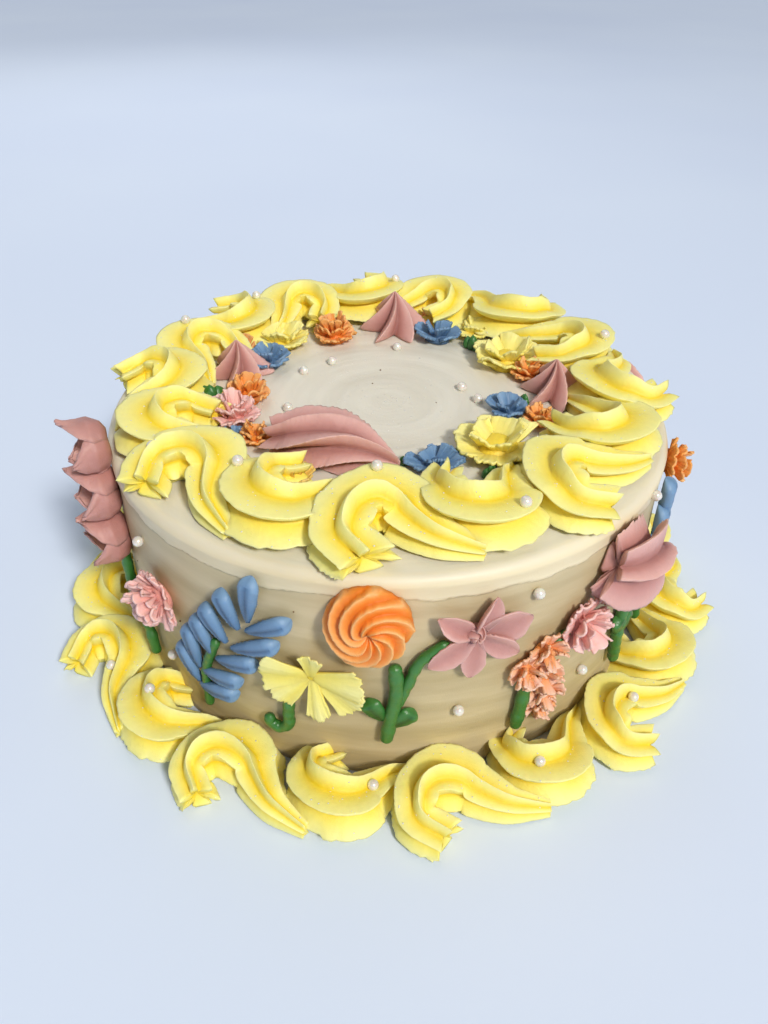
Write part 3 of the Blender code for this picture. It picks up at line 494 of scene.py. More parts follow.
# Tiers of a ruffled flower, outermost first: petals, length, width and rise as shares of its radius, fold
RUFFLE_TIERS = ((6, 1.00, 1.05, 0.30, 0.14), (5, 0.78, 0.92, 0.66, 0.16), (3, 0.46, 0.80, 0.92, 0.13))
BLOSSOM_TIERS = ((5, 1.00, 1.15, 0.42, 0.09), (4, 0.60, 0.95, 0.74, 0.10))
SMALL_TIERS = ((5, 1.00, 0.90, 0.55, 0.05), (3, 0.52, 0.72, 0.80, 0.05))

# How many folds the petals of a frilled flower and of a broad-petalled blossom have, at least and at most
FRILL_FOLDS = (1.7, 2.6)
BLOSSOM_FOLDS = (0.9, 1.5)


def ruffle(icing, place, radius, seed, stretch=1.0, petals=1.0, rise=1.0, tiers=RUFFLE_TIERS,
           folds=FRILL_FOLDS, thick=1.35):
    """Many small folded petals over a low dome, the inner ones standing up."""
    draw = np.random.default_rng(seed)
    parts = [dome(0.55 * radius, 0.5 * rise * radius, seed)]
    for tier, (count, length, width, up, fold) in enumerate(tiers):
        number = max(2, int(round(count * petals)))
        for k in range(number):
            size = draw.uniform(0.86, 1.10)
            wide = width * radius * draw.uniform(0.85, 1.15)
            petal_folds = draw.uniform(*folds)
            lift = up * rise * radius * draw.uniform(0.85, 1.1)
            petal_seed = seed + 31 * tier + 7 * k
            petal = fan_petal(length * radius * size, wide, petal_folds, fold * radius, petal_seed, lift,
                              start=0.40, torn=0.05, thick=thick)
            direction = 360.0 * k / number + draw.uniform(-16.0, 16.0) + 24.0 * tier
            parts.append(turned(petal, direction, (0.0, 0.0, 0.25 * tier)))
    for points, faces, depth in parts:
        icing.add(place(points * np.array([stretch, 1.0, 1.0])), faces, depth)


BLADE_CREST = 0.84           # where a blade of a rosette is highest, as a share of the way to the next


def whorl(radius, height, arms, wrap, seed):
    """A rosette of thin spiral blades that run from its rim into an eye."""
    turn = np.linspace(0.0, 2.0 * math.pi, 30 * arms, endpoint=False)
    degrees = np.degrees(turn)
    rings, depths = [], []
    uneven = 1.0 + 0.03 * ripple(degrees, 120.0, seed) + 0.012 * ripple(degrees, 12.0, seed + 1)
    for tilt in np.radians(np.concatenate([[0.0], np.linspace(4.0, 89.0, 40)])):
        share = math.cos(tilt)
        phase = arms * (turn + wrap * (1.0 - share) ** 0.8) / (2.0 * math.pi)
        phase = phase + 0.10 * ripple(degrees, 150.0, seed + 2)
        part = phase - np.floor(phase)
        fall = np.clip((part - BLADE_CREST) / (1.0 - BLADE_CREST), 0.0, 1.0)
        blade = part ** 1.5 * (1.0 - fall ** 2 * (3.0 - 2.0 * fall))
        torn = 0.10 * ripple(degrees + 90.0 * share, 5.0, seed + 3) * blade
        out = radius * (share * uneven + 0.055 * blade * share) + torn
        crest = 0.30 * height * blade * min(1.0, 2.5 * share + 0.15)
        eye = 0.22 * height * math.exp(-(share / 0.13) ** 2)
        level = height * math.sin(tilt) ** 0.85 * 0.78 + crest - eye
        level = level * (1.0 if tilt > 0.0 else 0.0)
        rings.append(np.column_stack([out * np.cos(turn), out * np.sin(turn), level]))
        # the hollows between the blades get a deeper colour than their crests: painted shade
        depths.append(np.clip(1.0 - 1.35 * blade, 0.0, 1.0))
    return closed_rings(rings, depths, (0.0, 0.0, 0.0), (0.0, 0.0, rings[-1][:, 2].mean()), 0.8, 1.0)


def dome(radius, height, seed):
    """A low rounded lump that carries frills."""
    rows, around_count = 8, 28
    turn = 2.0 * math.pi * np.arange(around_count) / around_count
    rings = []
    for tilt in 0.5 * math.pi * np.arange(rows) / rows:
        out = radius * math.cos(tilt) * (1.0 + 0.04 * np.sin(3 * turn + seed))
        level = np.full(around_count, height * math.sin(tilt))
        rings.append(np.column_stack([out * np.cos(turn), out * np.sin(turn), level]))
    # the lump takes a deep groove colour all over: painted shade in the middle of the flower, among its
    # petals
    depths = [np.full(around_count, 0.9)] * rows
    return closed_rings(rings, depths, (0.0, 0.0, 0.0), (0.0, 0.0, height), 0.9, 0.9)


# A star of icing from its foot to its point: its width as a share of its radius
STAR_MARKS = (0.0, 0.08, 0.22, 0.45, 0.72, 0.90, 1.0)
STAR_WIDTHS = (1.02, 1.05, 0.95, 0.68, 0.38, 0.17, 0.05)


def star_drop(radius, height, fins, seed, twist, stretch, sharp, groove):
    """A star of icing pulled up to a point."""
    turns, shares, numbers = fin_outline(fins, sharp)
    draw = np.random.default_rng(seed)
    fin_size = draw.uniform(0.90, 1.08, fins)[numbers]
    rings, depths = [], []
    for rise in np.linspace(0.0, 1.0, 26):
        body = np.interp(rise, STAR_MARKS, STAR_WIDTHS)
        turn = turns + math.radians(twist * rise)
        tear = 0.030 * ripple(rise * height + 30.0 * numbers, 1.6, seed) * shares
        reach = radius * body * (groove + (1.0 - groove) * shares * fin_size + tear)
        level = np.full(len(turn), rise * height)
        rings.append(np.column_stack([reach * np.cos(turn) * stretch, reach * np.sin(turn), level]))
        # the grooves between the fins get a deeper colour: painted shade
        depths.append(np.clip((1.0 - shares) ** 1.5, 0.0, 1.0))
    return closed_rings(rings, depths, (0.0, 0.0, 0.0), (0.0, 0.0, height * 1.02), 1.0, 0.2)


def lumps(icing, place, radius, height, seed, count, stretch=1.0):
    """A cluster of small rounded blobs round a higher one, as piped with a round nozzle."""
    draw = np.random.default_rng(seed)
    for k in range(count + 1):
        middle = k == count
        turn = 2.0 * math.pi * k / count + draw.uniform(-0.25, 0.25)
        out = 0.0 if middle else 0.52 * radius
        size = radius * draw.uniform(0.46, 0.58)
        tall = height * (1.05 if middle else 0.85) * draw.uniform(0.9, 1.1)
        shift = (out * math.cos(turn) * stretch, out * math.sin(turn), 0.0)
        icing.lay(place, shifted(blob(size, tall, seed + k), shift))


def blob(radius, height, seed):
    """A rounded drop with a small nub where the nozzle was lifted."""
    rows, around_count = 12, 24
    turn = np.linspace(0.0, 2.0 * math.pi, around_count, endpoint=False)
    rings, depths = [], []
    for i in range(rows):
        rise = i / rows
        body = math.sqrt(max(0.0, 1.0 - rise ** 2.4)) * (0.93 + 0.07 * min(1.0, rise * 6))
        uneven = 1.0 + 0.07 * np.sin(2 * turn + seed) + 0.05 * np.sin(3 * turn + 2.0 * seed + 2.0 * rise)
        out = radius * body * uneven
        level = np.full(around_count, height * rise)
        rings.append(np.column_stack([out * np.cos(turn), out * np.sin(turn), level]))
        # deeper colour at the foot than on top: painted shade low on the drop
        depths.append(np.full(around_count, 0.55 - 0.35 * rise))
    return closed_rings(rings, depths, (0.0, 0.0, 0.0), (0.1 * radius, 0.0, height * 1.12), 0.6, 0.1)


TUBE_STEP = 0.8
TUBE_HEIGHT = 0.92           # a stem's height, as a share of its width
TUBE_SIDES = 18


def tube(points, thick, seed):
    """A round piped line with small swellings and rounded ends."""
    path = fine_line(points, TUBE_STEP)
    share = np.linspace(0.0, 1.0, len(path))
    travelled = share * np.linalg.norm(np.diff(path, axis=0), axis=1).sum()
    swelling = 0.10 * ripple(travelled, 5.0, seed) + 0.03 * ripple(travelled, 1.6, seed + 1)
    end = np.clip(np.minimum(travelled, travelled[-1] - travelled) / (0.5 * thick), 0.0, 1.0)
    radii = 0.5 * thick * (1.0 + swelling) * np.sqrt(np.clip(1.0 - (1.0 - end) ** 2, 0.02, 1.0))
    ahead, _ = directions(path)
    side = np.cross(ahead, [0.0, 0.0, 1.0])
    side = side / np.linalg.norm(side, axis=1, keepdims=True)
    lift = np.cross(side, ahead)
    turn = np.linspace(0.0, 2.0 * math.pi, TUBE_SIDES, endpoint=False)
    rings = []
    for i in range(len(path)):
        rings.append(path[i] + radii[i] * np.sin(turn)[:, None] * side[i]
                     + radii[i] * TUBE_HEIGHT * np.cos(turn)[:, None] * lift[i])
    # deeper colour on the side towards the cake than on the front: painted shade where the stem lies on the
    # wall
    depths = [0.35 - 0.35 * np.cos(turn)] * len(path)
    return closed_rings(rings, depths, path[0], path[-1], 0.5, 0.5)


# A teardrop stroke's width from its foot on, as a share of the widest; from the last mark on it is round
STROKE_MARKS = (0.0, 0.20, 0.50, 0.80)
STROKE_WIDTHS = (0.20, 0.52, 0.86, 1.0)


def leaf_stroke(length, width, thick, seed, rough, groove=0.10):
    """A teardrop stroke along +y: pointed and torn at its foot, round at its tip, with a faint groove."""
    rows, count = 34, 28
    along = np.sin(0.5 * math.pi * np.linspace(0.0, 1.0, rows)) * 0.998
    body = np.interp(along, STROKE_MARKS, STROKE_WIDTHS)
    past = np.clip(along - STROKE_MARKS[-1], 0.0, 1.0) / (1.0 - STROKE_MARKS[-1])
    round_tip = np.sqrt(np.clip(1.0 - past ** 2, 0.0, 1.0))
    half = 0.5 * width * body * round_tip
    turn = np.linspace(0.0, 2.0 * math.pi, count, endpoint=False)
    up = np.cos(turn)
    sideways = np.sin(turn)
    rings, depths = [], []
    for i in range(rows):
        near_foot = (1.0 - along[i]) ** 1.3
        torn = 1.0 + rough * near_foot * ripple(turn * 5.0 + 14.0 * along[i], 1.0, seed)
        crease = np.exp(-(sideways / 0.28) ** 2) * (up > 0) * min(1.0, 3.0 * along[i]) * (along[i] < 0.90)
        rounding = 0.45 + 0.5 * up * (1.0 - groove * crease) * torn
        x = half[i] * sideways * torn
        y = length * along[i] + 0.30 * rough * ripple(turn * 4.0, 1.0, seed + 5) * near_foot
        z = thick * rounding * (round_tip[i] * body[i] ** 0.6) + 0.12 * thick
        rings.append(np.column_stack([x, y, z]))
        shade = 0.50 - 0.35 * np.abs(sideways) + 0.45 * crease + 0.3 * near_foot - 0.25 * along[i]
        depths.append(np.clip(shade, 0, 1))
    points, faces, depth = closed_rings(rings, depths, rings[0].mean(0), rings[-1].mean(0), 0.6, 0.3)
    return points, [tuple(reversed(face)) for face in faces], depth


# Materials

def nodes_of(material):
    material.use_nodes = True
    tree = material.node_tree
    return tree, tree.nodes["Principled BSDF"]


NOISE_ROUGHNESS = 0.55


def noise(tree, scale, detail, vector=None):
    node = tree.nodes.new("ShaderNodeTexNoise")
    node.inputs["Scale"].default_value = scale
    node.inputs["Detail"].default_value = detail
    node.inputs["Roughness"].default_value = NOISE_ROUGHNESS
    if vector is None:
        coordinates = tree.nodes.new("ShaderNodeTexCoord")
        vector = coordinates.outputs["Object"]
    tree.links.new(vector, node.inputs["Vector"])
    return node.outputs["Fac"]


def ramp(tree, value, stops):
    node = tree.nodes.new("ShaderNodeValToRGB")
    elements = node.color_ramp.elements
    while len(elements) < len(stops):
        elements.new(0.5)
    for element, (position, colour) in zip(elements, stops):
        element.position = position
        element.color = (*colour, 1.0)
    tree.links.new(value, node.inputs["Fac"])
    return node.outputs["Color"]


def arithmetic(tree, operation, first, second, third=None):
    node = tree.nodes.new("ShaderNodeMath")
    node.operation = operation
    for socket, value in zip(node.inputs, (first, second, third)):
        if value is None:
            continue
        if isinstance(value, (int, float)):
            socket.default_value = value
        else:
            tree.links.new(value, socket)
    return node.outputs[0]


def mixed(tree, kind, share, first, second):
    node = tree.nodes.new("ShaderNodeMix")
    node.data_type = "RGBA"
    node.blend_type = kind
    if isinstance(share, (int, float)):
        node.inputs["Factor"].default_value = share
    else:
        tree.links.new(share, node.inputs["Factor"])
    for socket, value in ((node.inputs["A"], first), (node.inputs["B"], second)):
        if isinstance(value, tuple):
            socket.default_value = (*value, 1.0)
        else:
            tree.links.new(value, socket)
    return node.outputs["Result"]


def bumped(tree, shader, height, distance, strength=1.0, before=None):
    node = tree.nodes.new("ShaderNodeBump")
    node.inputs["Distance"].default_value = distance
    node.inputs["Strength"].default_value = strength
    tree.links.new(height, node.inputs["Height"])
    if before is not None:
        tree.links.new(before, node.inputs["Normal"])
    tree.links.new(node.outputs["Normal"], shader.inputs["Normal"])
    return node.outputs["Normal"]


GRAIN = 0.00010              # height of the sugar grain in the icing, in metres
ICING_SCATTER = 0.25         # share of the light that passes under the icing's surface
ICING_SCATTER_DEPTH = 0.004


def icing_material(name, pale, middle, deep, roughness=0.48, gloss=0.45):
    """Buttercream with a fine sugary grain: pale on thin edges, darker and stronger in colour in its
    grooves, which is painted shade.
    """
    material = bpy.data.materials.new(name)
    tree, shader = nodes_of(material)
    attribute = tree.nodes.new("ShaderNodeAttribute")
    attribute.attribute_name = "depth"
    cloud = noise(tree, 70.0, 3.0)
    cloudiness = arithmetic(tree, "SUBTRACT", cloud, 0.5)
    depth = arithmetic(tree, "MULTIPLY_ADD", cloudiness, 0.28, attribute.outputs["Fac"])
    # the ramp over depth paints shade: deeper, darker colour in grooves and hollows, paler on thin edges
    colour = ramp(tree, depth, [(0.0, pale), (0.45, middle), (1.0, deep)])
    spots = noise(tree, 420.0, 2.0)
    tint = ramp(tree, spots, [(0.30, (0.955, 0.955, 0.95)), (0.70, (1.0, 1.0, 1.0))])
    colour = mixed(tree, "MULTIPLY", 1.0, colour, tint)
    tree.links.new(colour, shader.inputs["Base Color"])
    fine = noise(tree, 2600.0, 2.0)
    coarse = noise(tree, 330.0, 3.0)
    first = bumped(tree, shader, fine, GRAIN)
    bumped(tree, shader, coarse, 2.6 * GRAIN, before=first)
    sheen = arithmetic(tree, "MULTIPLY_ADD", spots, 0.20, roughness - 0.10)
    tree.links.new(sheen, shader.inputs["Roughness"])
    shader.inputs["Specular IOR Level"].default_value = gloss
    shader.inputs["Subsurface Weight"].default_value = ICING_SCATTER
    shader.inputs["Subsurface Scale"].default_value = ICING_SCATTER_DEPTH
    shader.inputs["Subsurface Radius"].default_value = (1.0, 0.75, 0.45)
    return material


# Colours on thin edges, on broad faces and in grooves; the darker groove colours are painted shade
LEMON = icing_material("lemon_buttercream", (0.96, 0.89, 0.34), (0.95, 0.82, 0.19), (0.93, 0.68, 0.02))
YELLOW = icing_material("yellow_petal_icing", (0.96, 0.87, 0.33), (0.94, 0.79, 0.18), (0.88, 0.62, 0.03))
MAUVE = icing_material("mauve_icing", (0.72, 0.42, 0.38), (0.58, 0.29, 0.26), (0.36, 0.14, 0.12))
PINK = icing_material("pink_icing", (0.95, 0.60, 0.56), (0.90, 0.46, 0.41), (0.72, 0.28, 0.23))
ORANGE = icing_material("orange_icing", (0.95, 0.47, 0.18), (0.92, 0.33, 0.06), (0.80, 0.19, 0.008))
AMBER = icing_material("amber_icing", (0.94, 0.66, 0.22), (0.91, 0.55, 0.10), (0.86, 0.40, 0.02))
PEACH = icing_material("peach_icing", (0.95, 0.58, 0.43), (0.92, 0.43, 0.20), (0.84, 0.25, 0.04))
BLUE = icing_material("blue_icing", (0.19, 0.33, 0.52), (0.11, 0.22, 0.39), (0.045, 0.10, 0.19), gloss=0.6)
GREEN = icing_material("green_icing", (0.050, 0.20, 0.038), (0.026, 0.135, 0.018), (0.008, 0.06, 0.006),
                       roughness=0.34, gloss=0.6)


def cake_material():
    """Smoothed icing: scraper streaks round the wall, spatula arcs on the top, a paler band at the edge; the
    wall is darker and yellower than the top, partly its own colour and partly painted shade on the side.
    """
    material = bpy.data.materials.new("smoothed_cream_icing")
    tree, shader = nodes_of(material)
    coordinates = tree.nodes.new("ShaderNodeTexCoord")
    split = tree.nodes.new("ShaderNodeSeparateXYZ")
    tree.links.new(coordinates.outputs["Object"], split.inputs[0])
    x, y, z = split.outputs
    x_squared = arithmetic(tree, "MULTIPLY", x, x)
    y_squared = arithmetic(tree, "MULTIPLY", y, y)
    radius = arithmetic(tree, "SQRT", arithmetic(tree, "ADD", x_squared, y_squared), 0.0)
    streak_place = tree.nodes.new("ShaderNodeCombineXYZ")
    tree.links.new(arithmetic(tree, "MULTIPLY", x, 0.12), streak_place.inputs[0])
    tree.links.new(arithmetic(tree, "MULTIPLY", y, 0.12), streak_place.inputs[1])
    tree.links.new(arithmetic(tree, "ADD", z, radius), streak_place.inputs[2])
    streaks = noise(tree, 110.0, 4.0, streak_place.outputs[0])
    fine_streaks = noise(tree, 420.0, 2.0, streak_place.outputs[0])
    cloud = noise(tree, 26.0, 3.0)
    attribute = tree.nodes.new("ShaderNodeAttribute")
    attribute.attribute_name = "depth"
    # the wall is darker than the top: partly a yellower cream, partly painted shade on the side
    wall = ramp(tree, streaks, [(0.28, (0.46, 0.37, 0.20)),
                                (0.50, (0.55, 0.45, 0.26)),
                                (0.72, (0.66, 0.55, 0.34))])
    top = ramp(tree, streaks, [(0.30, (0.71, 0.69, 0.62)), (0.70, (0.80, 0.78, 0.71))])
    band = ramp(tree, streaks, [(0.30, (0.80, 0.68, 0.44)), (0.70, (0.90, 0.80, 0.57))])
    # depth runs from 0 on the wall over 0.5 on the band to 1 on the top
    depth = attribute.outputs["Fac"]
    to_band = arithmetic(tree, "MINIMUM", arithmetic(tree, "MULTIPLY", depth, 2.0), 1.0)
    to_top = arithmetic(tree, "MAXIMUM", arithmetic(tree, "MULTIPLY_ADD", depth, 2.0, -1.0), 0.0)
    colour = mixed(tree, "MIX", to_top, mixed(tree, "MIX", to_band, wall, band), top)
    tint = ramp(tree, cloud, [(0.30, (0.95, 0.94, 0.92)), (0.70, (1.0, 1.0, 1.0))])
    colour = mixed(tree, "MULTIPLY", 1.0, colour, tint)
    tree.links.new(colour, shader.inputs["Base Color"])
    first = bumped(tree, shader, streaks, 0.0006, 0.7)
    second = bumped(tree, shader, fine_streaks, 0.00012, 1.0, before=first)
    bumped(tree, shader, noise(tree, 2400.0, 2.0), 0.00006, 1.0, before=second)
    tree.links.new(arithmetic(tree, "MULTIPLY_ADD", fine_streaks, 0.25, 0.34), shader.inputs["Roughness"])
    shader.inputs["Subsurface Weight"].default_value = 0.2
    shader.inputs["Subsurface Scale"].default_value = 0.003
    shader.inputs["Subsurface Radius"].default_value = (1.0, 0.8, 0.55)
    return material


def drifting_material(name, scale, detail, shades, sheen_spread, sheen):
    """One colour that drifts between two shades, and its sheen with it."""
    material = bpy.data.materials.new(name)
    tree, shader = nodes_of(material)
    cloud = noise(tree, scale, detail)
    dark, light = shades
    tree.links.new(ramp(tree, cloud, [(0.3, dark), (0.7, light)]), shader.inputs["Base Color"])
    tree.links.new(arithmetic(tree, "MULTIPLY_ADD", cloud, sheen_spread, sheen), shader.inputs["Roughness"])
    return material, shader


def pearl_material():
    shades = ((0.74, 0.69, 0.60), (0.86, 0.83, 0.77))
    material, shader = drifting_material("sugar_pearl", 500.0, 2.0, shades, 0.12, 0.16)
    shader.inputs["Metallic"].default_value = 0.15
    shader.inputs["Coat Weight"].default_value = 0.7
    shader.inputs["Coat Roughness"].default_value = 0.08
    shader.inputs["Subsurface Weight"].default_value = 0.2
    shader.inputs["Subsurface Scale"].default_value = 0.002
    return material


def glitter_material():
    shades = ((0.90, 0.88, 0.82), (1.0, 0.99, 0.96))
    material, shader = drifting_material("glitter_flake", 900.0, 1.0, shades, 0.10, 0.06)
    shader.inputs["Specular IOR Level"].default_value = 1.0
    return material


def speck_material():
    shades = ((0.10, 0.05, 0.02), (0.22, 0.12, 0.05))
    material, _ = drifting_material("dark_crumb", 900.0, 1.0, shades, 0.10, 0.6)
    return material


CREAM = cake_material()
PEARL = pearl_material()
GLITTER = glitter_material()
SPECK = speck_material()


# The iced cake

BAND_DEPTH = 8.0             # how far the thick band at the top reaches down the wall
BAND_RELIEF = 0.5            # how far it stands out
SEGMENTS = 540
BAND_SHADE = 0.46
TOP_SHADE = 0.9


def band_edge(around):
    """Height of the torn lower edge of the thick band at the top of the wall."""
    degrees = np.degrees(around)
    swell = 1.6 * ripple(degrees, 40.0, 5)
    torn = 0.7 * ripple(degrees, 7.0, 6) + 0.25 * ripple(degrees, 1.8, 8)
    return CAKE_HEIGHT - BAND_DEPTH + swell + torn


def build_cake():
    around = np.linspace(0.0, 2.0 * math.pi, SEGMENTS, endpoint=False)
    edge = band_edge(around)
    rings, depths = [], []

    def add_ring(out, level, depth):
        rings.append(np.column_stack([out * np.cos(around), out * np.sin(around), np.full(SEGMENTS, level)]))
        depths.append(np.full(SEGMENTS, depth))

    # the wall, with finer rings where the band's edge runs
    band_levels = np.linspace(75.0, CAKE_HEIGHT - EDGE_ROUNDING, 26)
    for level in np.concatenate([[0.0, 1.0], np.linspace(3.0, 74.0, 20), band_levels]):
        proud = BAND_RELIEF / (1.0 + np.exp(-(level - edge) / 0.18))
        wave = 0.22 * ripple(np.full(SEGMENTS, level), 9.0, 21) + 0.10 * ripple(np.degrees(around), 60.0, 22)
        tucked = 0.8 if level < 0.5 else 0.0
        below = 0.12 * np.clip((level - 60.0) / 20.0, 0.0, 1.0)
        shade = np.where(level > edge, BAND_SHADE, below)
        add_ring(CAKE_RADIUS - 0.35 + proud + wave - tucked, level, shade)
    # the rounded edge
    for degrees in (20.0, 40.0, 60.0, 80.0):
        turn = math.radians(degrees)
        out = CAKE_RADIUS + 0.10 - EDGE_ROUNDING * (1.0 - math.cos(turn))
        level = CAKE_HEIGHT - EDGE_ROUNDING * (1.0 - math.sin(turn))
        add_ring(out, level, 0.45 + 0.3 * math.sin(turn))
    # the top, with arcs left by a spatula
    for out in np.linspace(CAKE_RADIUS - EDGE_ROUNDING - 1.0, 2.0, 44):
        arcs = 0.16 * ripple(out + 3.0 * np.cos(around + 0.02 * out), 8.0, 31)
        streaks = 0.05 * ripple(out + 4.0 * around, 2.5, 32)
        fade = min(1.0, out / 12.0)
        add_ring(out, CAKE_HEIGHT + (arcs + streaks) * fade, TOP_SHADE)
    icing = Icing()
    icing.add(*closed_rings(rings, depths, (0.0, 0.0, 0.0), (0.0, 0.0, CAKE_HEIGHT), 0.0, TOP_SHADE))
    icing.piece("iced_cake", CREAM, "cake", "cream_icing")
    return icing


iced_cake = build_cake()

# Sugar pearls, as (angle, radius) on the borders and the top, and (angle, height) on the wall
TOP_BORDER_PEARLS = [(-127, 78), (-146, 92), (-93, 66), (129, 92), (154, 92), (19, 91), (-64, 92), (88, 93),
                     (52, 90)]
BOTTOM_BORDER_PEARLS = [(-135, 117), (-148, 121), (-92, 116), (-65, 120), (-42, 119), (5, 118), (60, 118),
                        (110, 119), (165, 118)]
TOP_PEARLS = [(-168, 38), (147, 40), (127, 38), (85, 44), (18, 30), (0, 34)]
WALL_PEARLS = [(-143, 70), (-137, 25), (-64, 76), (-49, 27), (-77, 32), (-31, 84), (34, 74), (78, 30),
               (146, 72)]
SUNK = 0.35 * PEARL_RADIUS   # how far a pearl lies sunk in what carries it
ABOVE = 200.0                # height from which a surface is looked for
DOWN = Vector((0.0, 0.0, -1.0))


def polar(angle, radius, level):
    turn = math.radians(angle)
    return np.array([radius * math.cos(turn), radius * math.sin(turn), level])


def ball(centre, radius, rows=10, count=16):
    """A small round ball."""
    turn = np.linspace(0.0, 2.0 * math.pi, count, endpoint=False)
    rings = []
    for i in range(1, rows):
        tilt = -0.5 * math.pi + math.pi * i / rows
        out = radius * math.cos(tilt)
        level = np.full(count, radius * math.sin(tilt))
        rings.append(np.column_stack([out * np.cos(turn), out * np.sin(turn), level]))
    depths = [np.zeros(count)] * len(rings)
    return shifted(closed_rings(rings, depths, (0.0, 0.0, -radius), (0.0, 0.0, radius), 0.0, 0.0), centre)


def surface_of(icing):
    """A search tree of the collected surfaces, in millimetres."""
    return BVHTree.FromPolygons([Vector(p) for p in np.concatenate(icing.points)], icing.faces)


def add_pearls(name, node, slot, centres):
    pearls = Icing()
    for centre in centres:
        pearls.add(*ball(centre, PEARL_RADIUS))
    pearls.piece(name, PEARL, node, slot)


def resting_on(tree, places):
    """Centres of pearls that lie a little sunk on a surface, seen from above."""
    centres = []
    for angle, radius in places:
        hit = tree.ray_cast(Vector(polar(angle, radius, ABOVE)), DOWN)
        if hit[0] is not None:
            centres.append(np.array(hit[0]) + np.array([0.0, 0.0, PEARL_RADIUS - SUNK]))
    return centres


top_scrolls = border(TOP_ANGLES, TOP_RING_RADIUS, TOP_WIDTH, TOP_FACE, TOP_CURL_HEIGHT, 1.0, 100,
                     FRONT_GROWTH, FRONT_SHIFT)
top_scrolls.piece("piped_top_border", LEMON, "top_border", "lemon_icing")
bottom_scrolls = border(BOTTOM_ANGLES, BOTTOM_RING_RADIUS, BOTTOM_WIDTH, BOTTOM_FACE, BOTTOM_CURL_HEIGHT,
                        -1.0, 400)
bottom_scrolls.piece("piped_bottom_border", LEMON, "bottom_border", "lemon_icing")
top_surface = surface_of(top_scrolls)
bottom_surface = surface_of(bottom_scrolls)
add_pearls("pearls_top_border", "top_border", "lemon_icing", resting_on(top_surface, TOP_BORDER_PEARLS))
add_pearls("pearls_bottom_border", "bottom_border", "lemon_icing",
           resting_on(bottom_surface, BOTTOM_BORDER_PEARLS))
add_pearls("pearls_cake", "cake", "cream_icing",
           [polar(angle, radius, CAKE_HEIGHT + PEARL_RADIUS - SUNK) for angle, radius in TOP_PEARLS]
           + [polar(angle, CAKE_RADIUS + PEARL_RADIUS - SUNK, height) for angle, height in WALL_PEARLS])


def flake(centre, normal, size, spin):
    """A thin six-pointed plate that lies on a surface."""
    normal = np.asarray(normal, float)
    side = np.cross(normal, [0.3, 0.5, 0.81])
    side = side / np.linalg.norm(side)
    other = np.cross(normal, side)
    turn = spin + np.arange(6) * math.pi / 3.0
    rim = centre + size * (np.cos(turn)[:, None] * side + np.sin(turn)[:, None] * other)
    points = np.vstack([rim, [centre - 0.04 * normal], [centre + 0.07 * normal]])
    return points, ring_faces(1, 6), np.zeros(len(points))


LEAST_FACING_UP = 0.15       # flakes slide off what is steeper than this
GLITTER_SIZES = (0.16, 0.34)


def scatter_glitter(name, tree, node, slot, count, low, high, seed):
    """Loose flakes, between two radii, on what faces upwards."""
    draw = np.random.default_rng(seed)
    flakes = Icing()
    for _ in range(count):
        angle = draw.uniform(-180.0, 180.0)
        radius = draw.uniform(low, high)
        hit = tree.ray_cast(Vector(polar(angle, radius, ABOVE)), DOWN)
        if hit[0] is None or hit[1][2] < LEAST_FACING_UP:
            continue
        normal = np.array(hit[1]) + draw.normal(0.0, 0.16, 3)
        normal = normal / np.linalg.norm(normal)
        size = draw.uniform(*GLITTER_SIZES)
        spin = draw.uniform(0.0, 3.0)
        flakes.add(*flake(np.array(hit[0]) + 0.05 * normal, normal, size, spin))
    flakes.piece(name, GLITTER, node, slot)


scatter_glitter("glitter_top_border", top_surface, "top_border", "lemon_icing", 900, 60.0, 104.0, 51)
scatter_glitter("glitter_cake", surface_of(iced_cake), "cake", "cream_icing", 300, 0.0, 66.0, 53)
scatter_glitter("glitter_bottom_border", bottom_surface, "bottom_border", "lemon_icing", 900,
                104.0, 130.0, 52)

WALL_SPECKS = 16
TOP_SPECKS = 4


def scatter_specks():
    """A few dark crumbs caught in the icing of the wall and the top."""
    draw = np.random.default_rng(77)
    specks = Icing()
    for _ in range(WALL_SPECKS):
        angle = draw.uniform(-180.0, 180.0)
        level = draw.uniform(24.0, 84.0)
        size = draw.uniform(0.18, 0.42)
        specks.add(*ball(polar(angle, CAKE_RADIUS - 0.2, level), size, 6, 8))
    for _ in range(TOP_SPECKS):
        angle = draw.uniform(-180.0, 180.0)
        radius = draw.uniform(10.0, 42.0)
        size = draw.uniform(0.2, 0.4)
        specks.add(*ball(polar(angle, radius, CAKE_HEIGHT), size, 6, 8))
    specks.piece("specks_cake", SPECK, "cake", "cream_icing")


scatter_specks()


